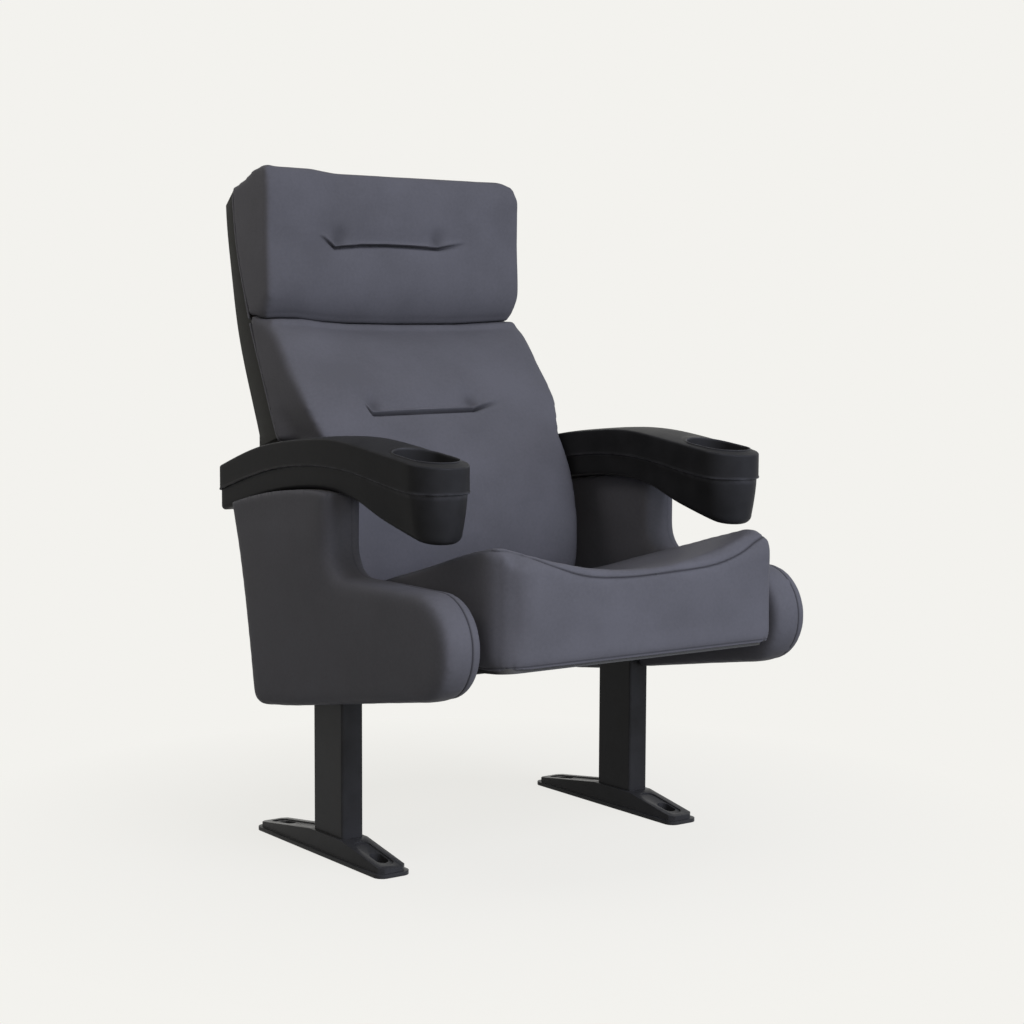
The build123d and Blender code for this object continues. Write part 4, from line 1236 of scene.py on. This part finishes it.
def noise(tree, source, factor, detail, roughness=0.5):
    """Noise at a multiple of the group's scale."""
    scale = combine(tree, "MULTIPLY", source.outputs["Scale"], factor)
    texture = add_node(
        tree, "TexNoise",
        {
            "Vector": source.outputs["Vector"], "Scale": scale, "Detail": detail,
            "Roughness": roughness,
        },
    )
    return texture.outputs["Fac"]


def spread(tree, value, low, high, out_low, out_high):
    """Map Range with clamping."""
    node = add_node(tree, "MapRange", {0: value, 1: low, 2: high, 3: out_low, 4: out_high})
    return node.outputs["Result"]


def mix_color(tree, factor, a, b):
    node = tree.nodes.new("ShaderNodeMix")
    node.data_type = "RGBA"
    feed(tree, node.inputs["Factor"], factor)
    feed(tree, node.inputs["A"], a)
    feed(tree, node.inputs["B"], b)
    return node.outputs["Result"]


def hide_grain():
    """Pebbled grain of coated cloth: cells, fine pores and slow changes of tone."""
    tree, source, out = group(
        "hide_grain", {"Scale": 700.0, "Pore": 0.35},
        {"Height": "NodeSocketFloat", "Tone": "NodeSocketFloat"},
    )
    cells = add_node(
        tree, "TexVoronoi", {"Vector": source.outputs["Vector"], "Scale": source.outputs["Scale"]}
    )
    cells.feature = "SMOOTH_F1"
    pebble = combine(tree, "MULTIPLY", cells.outputs["Distance"], -1.0)
    pores = combine(tree, "MULTIPLY", noise(tree, source, 2.4, 2.0), source.outputs["Pore"])
    feed(tree, out.inputs["Height"], combine(tree, "ADD", pebble, pores))
    slow = combine(tree, "MULTIPLY", noise(tree, source, 0.012, 3.0), 0.7)
    fine = combine(tree, "MULTIPLY", noise(tree, source, 0.25, 2.0), 0.3)
    feed(tree, out.inputs["Tone"], combine(tree, "ADD", slow, fine))
    return tree


def spark_texture():
    """Eroded texture of moulded plastic and powder coat."""
    tree, source, out = group(
        "spark_texture", {"Scale": 900.0},
        {"Height": "NodeSocketFloat", "Tone": "NodeSocketFloat"},
    )
    feed(tree, out.inputs["Height"], noise(tree, source, 1.0, 3.0, 0.6))
    feed(tree, out.inputs["Tone"], noise(tree, source, 0.02, 3.0))
    return tree


def painted_mask(tree, name):
    """A point attribute of the piece, as a value."""
    node = add_node(tree, "Attribute")
    node.attribute_name = name
    return node.outputs["Fac"]


def wear_highlight_and_seam_shade():
    """Polished edges, lighter as rubbed wear and painted highlight, from the edge attribute and
    noise, and painted shade in seams, creases and dimples, from the hollow one.
    """
    tree, source, out = group(
        "wear_highlight_and_seam_shade", {"Scale": 60.0, "Amount": 0.6, "Painted Shade": 0.75},
        {"Wear And Highlight": "NodeSocketFloat", "Hollow": "NodeSocketFloat"},
    )
    # rubbed wear and painted highlight: convex edges turn toward the worn colour
    patches = spread(tree, noise(tree, source, 1.0, 4.0), 0.35, 0.7, 0.3, 1.0)
    worn_and_lit = combine(tree, "MULTIPLY", painted_mask(tree, "edge"), patches)
    feed(tree, out.inputs["Wear And Highlight"], combine(tree, "MULTIPLY", worn_and_lit, source.outputs["Amount"]))
    # painted shade: seams, creases and dimples darkened from the hollow attribute
    deep = combine(tree, "MULTIPLY", painted_mask(tree, "hollow"), source.outputs["Painted Shade"])
    feed(tree, out.inputs["Hollow"], deep)
    return tree


HIDE, SPARK, WEAR_HIGHLIGHT_SHADE = hide_grain(), spark_texture(), wear_highlight_and_seam_shade()
SEAM_SHADE = 0.12  # share of its dark tone that a finish keeps inside a seam, where shade is painted


def new_material(name):
    """Material, its tree and shader, and the piece's own coordinates."""
    material = bpy.data.materials.new(name)
    material.use_nodes = True
    tree = material.node_tree
    place = add_node(tree, "TexCoord").outputs["Object"]
    return material, tree, tree.nodes["Principled BSDF"], place


def relief(tree, shader, height, strength, distance):
    """Fine height as bump, its distance in millimetres."""
    bump = add_node(
        tree, "Bump", {"Strength": strength, "Distance": distance * MM, "Height": height}
    )
    feed(tree, shader.inputs["Normal"], bump.outputs["Normal"])


def finish(
    name, texture, scale, dark, light, worn_and_lit, rough, bump, specular=0.5, metallic=0.0, wear_and_highlight=0.6
):
    """Material from a texture group: tone between two colours, worn edges lighter as wear and
    painted highlight, painted shade in seams, grain as bump.
    """
    material, tree, shader, place = new_material(name)
    grain = add_node(tree, "Group", {"Scale": scale, "Vector": place}, texture)
    edges = add_node(tree, "Group", {"Amount": wear_and_highlight, "Vector": place}, WEAR_HIGHLIGHT_SHADE)
    tone = spread(tree, grain.outputs["Tone"], 0.35, 0.65, 0.0, 1.0)
    colour = mix_color(tree, tone, (*dark, 1.0), (*light, 1.0))
    # worn edges: rubbed wear and painted highlight
    colour = mix_color(tree, edges.outputs["Wear And Highlight"], colour, (*worn_and_lit, 1.0))
    # painted shade in seams, creases and dimples
    shaded = (*[SEAM_SHADE * v for v in dark], 1.0)
    colour = mix_color(tree, edges.outputs["Hollow"], colour, shaded)
    feed(tree, shader.inputs["Base Color"], colour)
    base = spread(tree, grain.outputs["Tone"], 0.3, 0.7, *rough)
    rubbed = combine(tree, "MULTIPLY", edges.outputs["Wear And Highlight"], 0.12)
    feed(tree, shader.inputs["Roughness"], combine(tree, "SUBTRACT", base, rubbed))
    relief(tree, shader, grain.outputs["Height"], *bump)
    shader.inputs["Specular IOR Level"].default_value = specular
    shader.inputs["Metallic"].default_value = metallic
    return material


DARK_SIDES_FROM = (0.222, 0.226)  # from the seat's middle, in metres


def plywood():
    """Birch veneer with drawn-out grain, darker toward the sides of the seat."""
    material, tree, shader, place = new_material("raw_plywood")
    stretch = add_node(tree, "Mapping", {"Vector": place, "Scale": (90.0, 60.0, 6.0)})
    fibre = add_node(
        tree, "TexNoise", {"Vector": stretch.outputs["Vector"], "Scale": 3.0, "Detail": 5.0}
    ).outputs["Fac"]
    tone = spread(tree, fibre, 0.3, 0.7, 0.0, 1.0)
    colour = mix_color(tree, tone, (0.34, 0.22, 0.12, 1.0), (0.52, 0.37, 0.22, 1.0))
    # the board turns near black toward the sides of the seat
    split = add_node(tree, "SeparateXYZ", {0: place})
    from_middle = combine(tree, "ABSOLUTE", split.outputs["X"], 0.0)
    darker_sides = spread(tree, from_middle, *DARK_SIDES_FROM, 0.0, 0.95)
    colour = mix_color(tree, darker_sides, colour, (0.03, 0.028, 0.027, 1.0))
    feed(tree, shader.inputs["Base Color"], colour)
    feed(tree, shader.inputs["Roughness"], spread(tree, fibre, 0.3, 0.7, 0.55, 0.75))
    relief(tree, shader, fibre, 0.2, 0.2)
    return material


# finishes: name, texture and its scale, dark, light and worn colour, roughness from and to,
# strength and depth of the bump; the worn colour paints both rubbed wear and highlight on convex
# edges

SLATE = finish(
    "slate_hide", HIDE, 800.0, (0.100, 0.099, 0.108), (0.119, 0.118, 0.130), (0.14, 0.14, 0.152),
    (0.46, 0.58), (0.22, 0.35), specular=0.035,
)
ARM_BLACK = finish(
    "satin_black_moulding", SPARK, 1100.0, (0.019, 0.019, 0.0195), (0.025, 0.025, 0.026),
    (0.10, 0.10, 0.11), (0.40, 0.50), (0.12, 0.12), specular=0.035, wear_and_highlight=0.8,
)
SHELL_GREY = finish(
    "coarse_grey_moulding", SPARK, 650.0, (0.022, 0.022, 0.021), (0.036, 0.036, 0.033),
    (0.06, 0.06, 0.058), (0.5, 0.62), (0.7, 0.5), specular=0.08,
)
COAT_BLACK = finish(
    "black_powder_coat", SPARK, 900.0, (0.029, 0.029, 0.030), (0.038, 0.038, 0.040),
    (0.07, 0.07, 0.07), (0.28, 0.40), (0.25, 0.2), specular=0.07,
)
FRAME_BLACK = finish(
    "matt_frame_paint", SPARK, 700.0, (0.02, 0.02, 0.02), (0.034, 0.034, 0.034),
    (0.08, 0.08, 0.08), (0.5, 0.62), (0.3, 0.25),
)
ZINC = finish(
    "bright_zinc", SPARK, 400.0, (0.42, 0.42, 0.43), (0.55, 0.55, 0.56), (0.7, 0.7, 0.7),
    (0.28, 0.4), (0.15, 0.1), metallic=1.0,
)
RUBBER = finish(
    "black_rubber", SPARK, 500.0, (0.012, 0.012, 0.012), (0.02, 0.02, 0.02), (0.03, 0.03, 0.03),
    (0.7, 0.85), (0.4, 0.2), specular=0.3,
)
NYLON = finish(
    "natural_nylon", SPARK, 500.0, (0.5, 0.5, 0.46), (0.62, 0.62, 0.57), (0.7, 0.7, 0.66),
    (0.4, 0.5), (0.2, 0.1),
)
SLOT_FINISH = {
    "upholstery": SLATE, "arm_plastic": ARM_BLACK, "shell_plastic": SHELL_GREY,
    "standard_paint": COAT_BLACK, "frame_steel": FRAME_BLACK, "zinc_steel": ZINC,
    "plywood": plywood(), "rubber": RUBBER, "nylon": NYLON,
}


def dress(piece, slot, body, *nodes):
    """Gives a piece its finish, the body it rides on and the CAD nodes it stands for."""
    piece.data.materials.clear()
    piece.data.materials.append(SLOT_FINISH[slot])
    mark_edges(piece)
    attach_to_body(piece, body)
    if nodes:
        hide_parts(*nodes)
    return piece


# ---------------------------------------------------------------- the whole seat

NODE_SLOT = {p["node"]: p["material_slot"] for p in frame["record"]["subparts"]}
for node_name, node_object in frame["nodes"].items():
    node_object.data.materials.clear()
    node_object.data.materials.append(SLOT_FINISH[NODE_SLOT[node_name]])

for maker, cad_node, body in (
    (head, "head_cushion", "back"),
    (lower_back, "back_cushion", "back"),
    (seat, "seat_cushion", "seat"),
):
    cushion = dress(maker(), "upholstery", body, cad_node)

for side in ("left", "right"):
    cushion = dress(panel(side), "upholstery", "standards", f"{side}_panel_pad")
    dress(arm_cap(side), "arm_plastic", "standards", f"{side}_armrest_cap")
    dress(arm_casing(side), "arm_plastic", "standards", f"{side}_armrest_casing")
    foot = eased_copy(f"{side}_foot", f"{side}_foot_casting", 1.6)
    dress(foot, "standard_paint", "standards", f"{side}_foot")

shell = eased_copy("back_shell", "back_shell_cover", 2.2, widen_rear)
dress(shell, "shell_plastic", "back", "back_shell")

for name, low, high in (
    ("lower_back_welt", BACK_BOTTOM + 4, HEAD_CREASE - 4),
    ("headrest_welt", HEAD_CREASE + 4, 1040),
):
    dress(back_welt(low, high, SLATE, name), "upholstery", "back")

# ---------------------------------------------------------------- studio

BACKGROUND = (0.896, 0.888, 0.855, 1.0)
AMBIENT = 0.14
FLOOR_COLOUR = (0.86, 0.855, 0.83, 1.0)
FLOOR_BOUNCE = (0.25, 0.25, 0.24, 1.0)  # what the floor throws back on the seat
FLOOR_HALF = 60.0
FLOOR_Z = -0.0005
SHADOW_REACH = (0.35, 0.95)             # the lit floor fades into the background from here to here
SHADOW_SHARE = 0.13


def camera_like(tree):
    """1 for rays that should see the plain background."""
    light = add_node(tree, "LightPath").outputs
    seen = combine(tree, "MAXIMUM", light["Is Camera Ray"], light["Is Glossy Ray"])
    return combine(tree, "MAXIMUM", seen, light["Is Transmission Ray"])


world = bpy.data.worlds.new("studio")
scene.world = world
world.use_nodes = True
sky = world.node_tree
sky.nodes.clear()
ambient = add_node(sky, "Background", {"Color": (1.0, 1.0, 1.0, 1.0), "Strength": AMBIENT})
plain = add_node(sky, "Background", {"Color": BACKGROUND})
both = add_node(
    sky, "MixShader", {0: camera_like(sky), 1: ambient.outputs[0], 2: plain.outputs[0]}
)
add_node(sky, "OutputWorld", {"Surface": both.outputs[0]})

ground = bpy.data.materials.new("studio_floor")
ground.use_nodes = True
tree = ground.node_tree
tree.nodes.clear()
bounced = add_node(tree, "LightPath").outputs["Is Diffuse Ray"]
lit = add_node(
    tree, "BsdfDiffuse", {"Color": mix_color(tree, bounced, FLOOR_COLOUR, FLOOR_BOUNCE)}
)
glow = add_node(tree, "Emission", {"Color": BACKGROUND})
away = add_node(tree, "VectorMath", {0: add_node(tree, "TexCoord").outputs["Object"]})
away.operation = "LENGTH"
near = spread(tree, away.outputs["Value"], *SHADOW_REACH, SHADOW_SHARE, 0.0)
weight = combine(tree, "MULTIPLY", camera_like(tree), combine(tree, "SUBTRACT", 1.0, near))
both = add_node(tree, "MixShader", {0: weight, 1: lit.outputs[0], 2: glow.outputs[0]})
add_node(tree, "OutputMaterial", {"Surface": both.outputs[0]})

floor_mesh = bpy.data.meshes.new("floor")
floor_corners = [
    (x * FLOOR_HALF, y * FLOOR_HALF, FLOOR_Z) for x, y in ((-1, -1), (1, -1), (1, 1), (-1, 1))
]
floor_mesh.from_pydata(floor_corners, [], [(0, 1, 2, 3)])
floor_mesh.materials.append(ground)
floor = add_object("floor", floor_mesh)


def lamp(name, place, target, size, power, colour=(1.0, 1.0, 1.0)):
    data = bpy.data.lights.new(name, "AREA")
    data.shape = "DISK"
    data.size = size
    data.energy = power
    data.color = colour
    piece = add_object(name, data)
    piece.location = place
    piece.rotation_euler = (Vector(target) - Vector(place)).to_track_quat("-Z", "Y").to_euler()


lamp("key", (0.3, -3.2, 2.4), (0, 0, 0.6), 1.8, 86, (0.94, 0.98, 1.18))
lamp("fill", (-1.3, -2.3, 0.9), (-0.2, 0, 0.5), 0.9, 9, (1.04, 1.0, 0.96))
lamp("low", (1.3, -2.6, 0.6), (0.1, 0, 0.5), 1.0, 14, (0.9, 0.97, 1.15))
lamp("side", (-1.2, 0.5, 1.6), (-0.3, 0.3, 0.9), 0.6, 4, (1.04, 1.0, 0.96))
lamp("top", (0.2, -0.4, 3.6), (0, 0, 0.4), 2.0, 12)

scene.view_settings.view_transform = "Standard"

# the camera was fitted to the seat's edges: lens in pixels of a square picture, angles in
# degrees, and the point that it looks at, in millimetres from the columns
PICTURE = 1024
LENS = 2005.4
SENSOR = 36.0
AZIMUTH, ELEVATION, ROLL = -36.08, 5.18, 0.27
LOOKS_AT = (0.15, -64.8, 526.9)
CAMERA_AWAY = 3201.4

camera_data = bpy.data.cameras.new("camera")
camera = add_object("camera", camera_data)
camera_data.sensor_width = SENSOR
camera_data.lens = LENS * SENSOR / PICTURE
camera_data.clip_end = 200.0
azimuth, elevation, roll = (math.radians(a) for a in (AZIMUTH, ELEVATION, ROLL))
back = Vector(
    (
        math.sin(azimuth) * math.cos(elevation),
        -math.cos(azimuth) * math.cos(elevation),
        math.sin(elevation),
    )
)
level = Vector((math.cos(azimuth), math.sin(azimuth), 0.0))
upright = back.cross(level)
right = level * math.cos(roll) + upright * math.sin(roll)
up = upright * math.cos(roll) - level * math.sin(roll)
turned = Matrix((right, up, back)).transposed().to_4x4()
turned.translation = Vector(to_metres(LOOKS_AT)) + back * CAMERA_AWAY * MM
camera.matrix_world = turned
scene.camera = camera
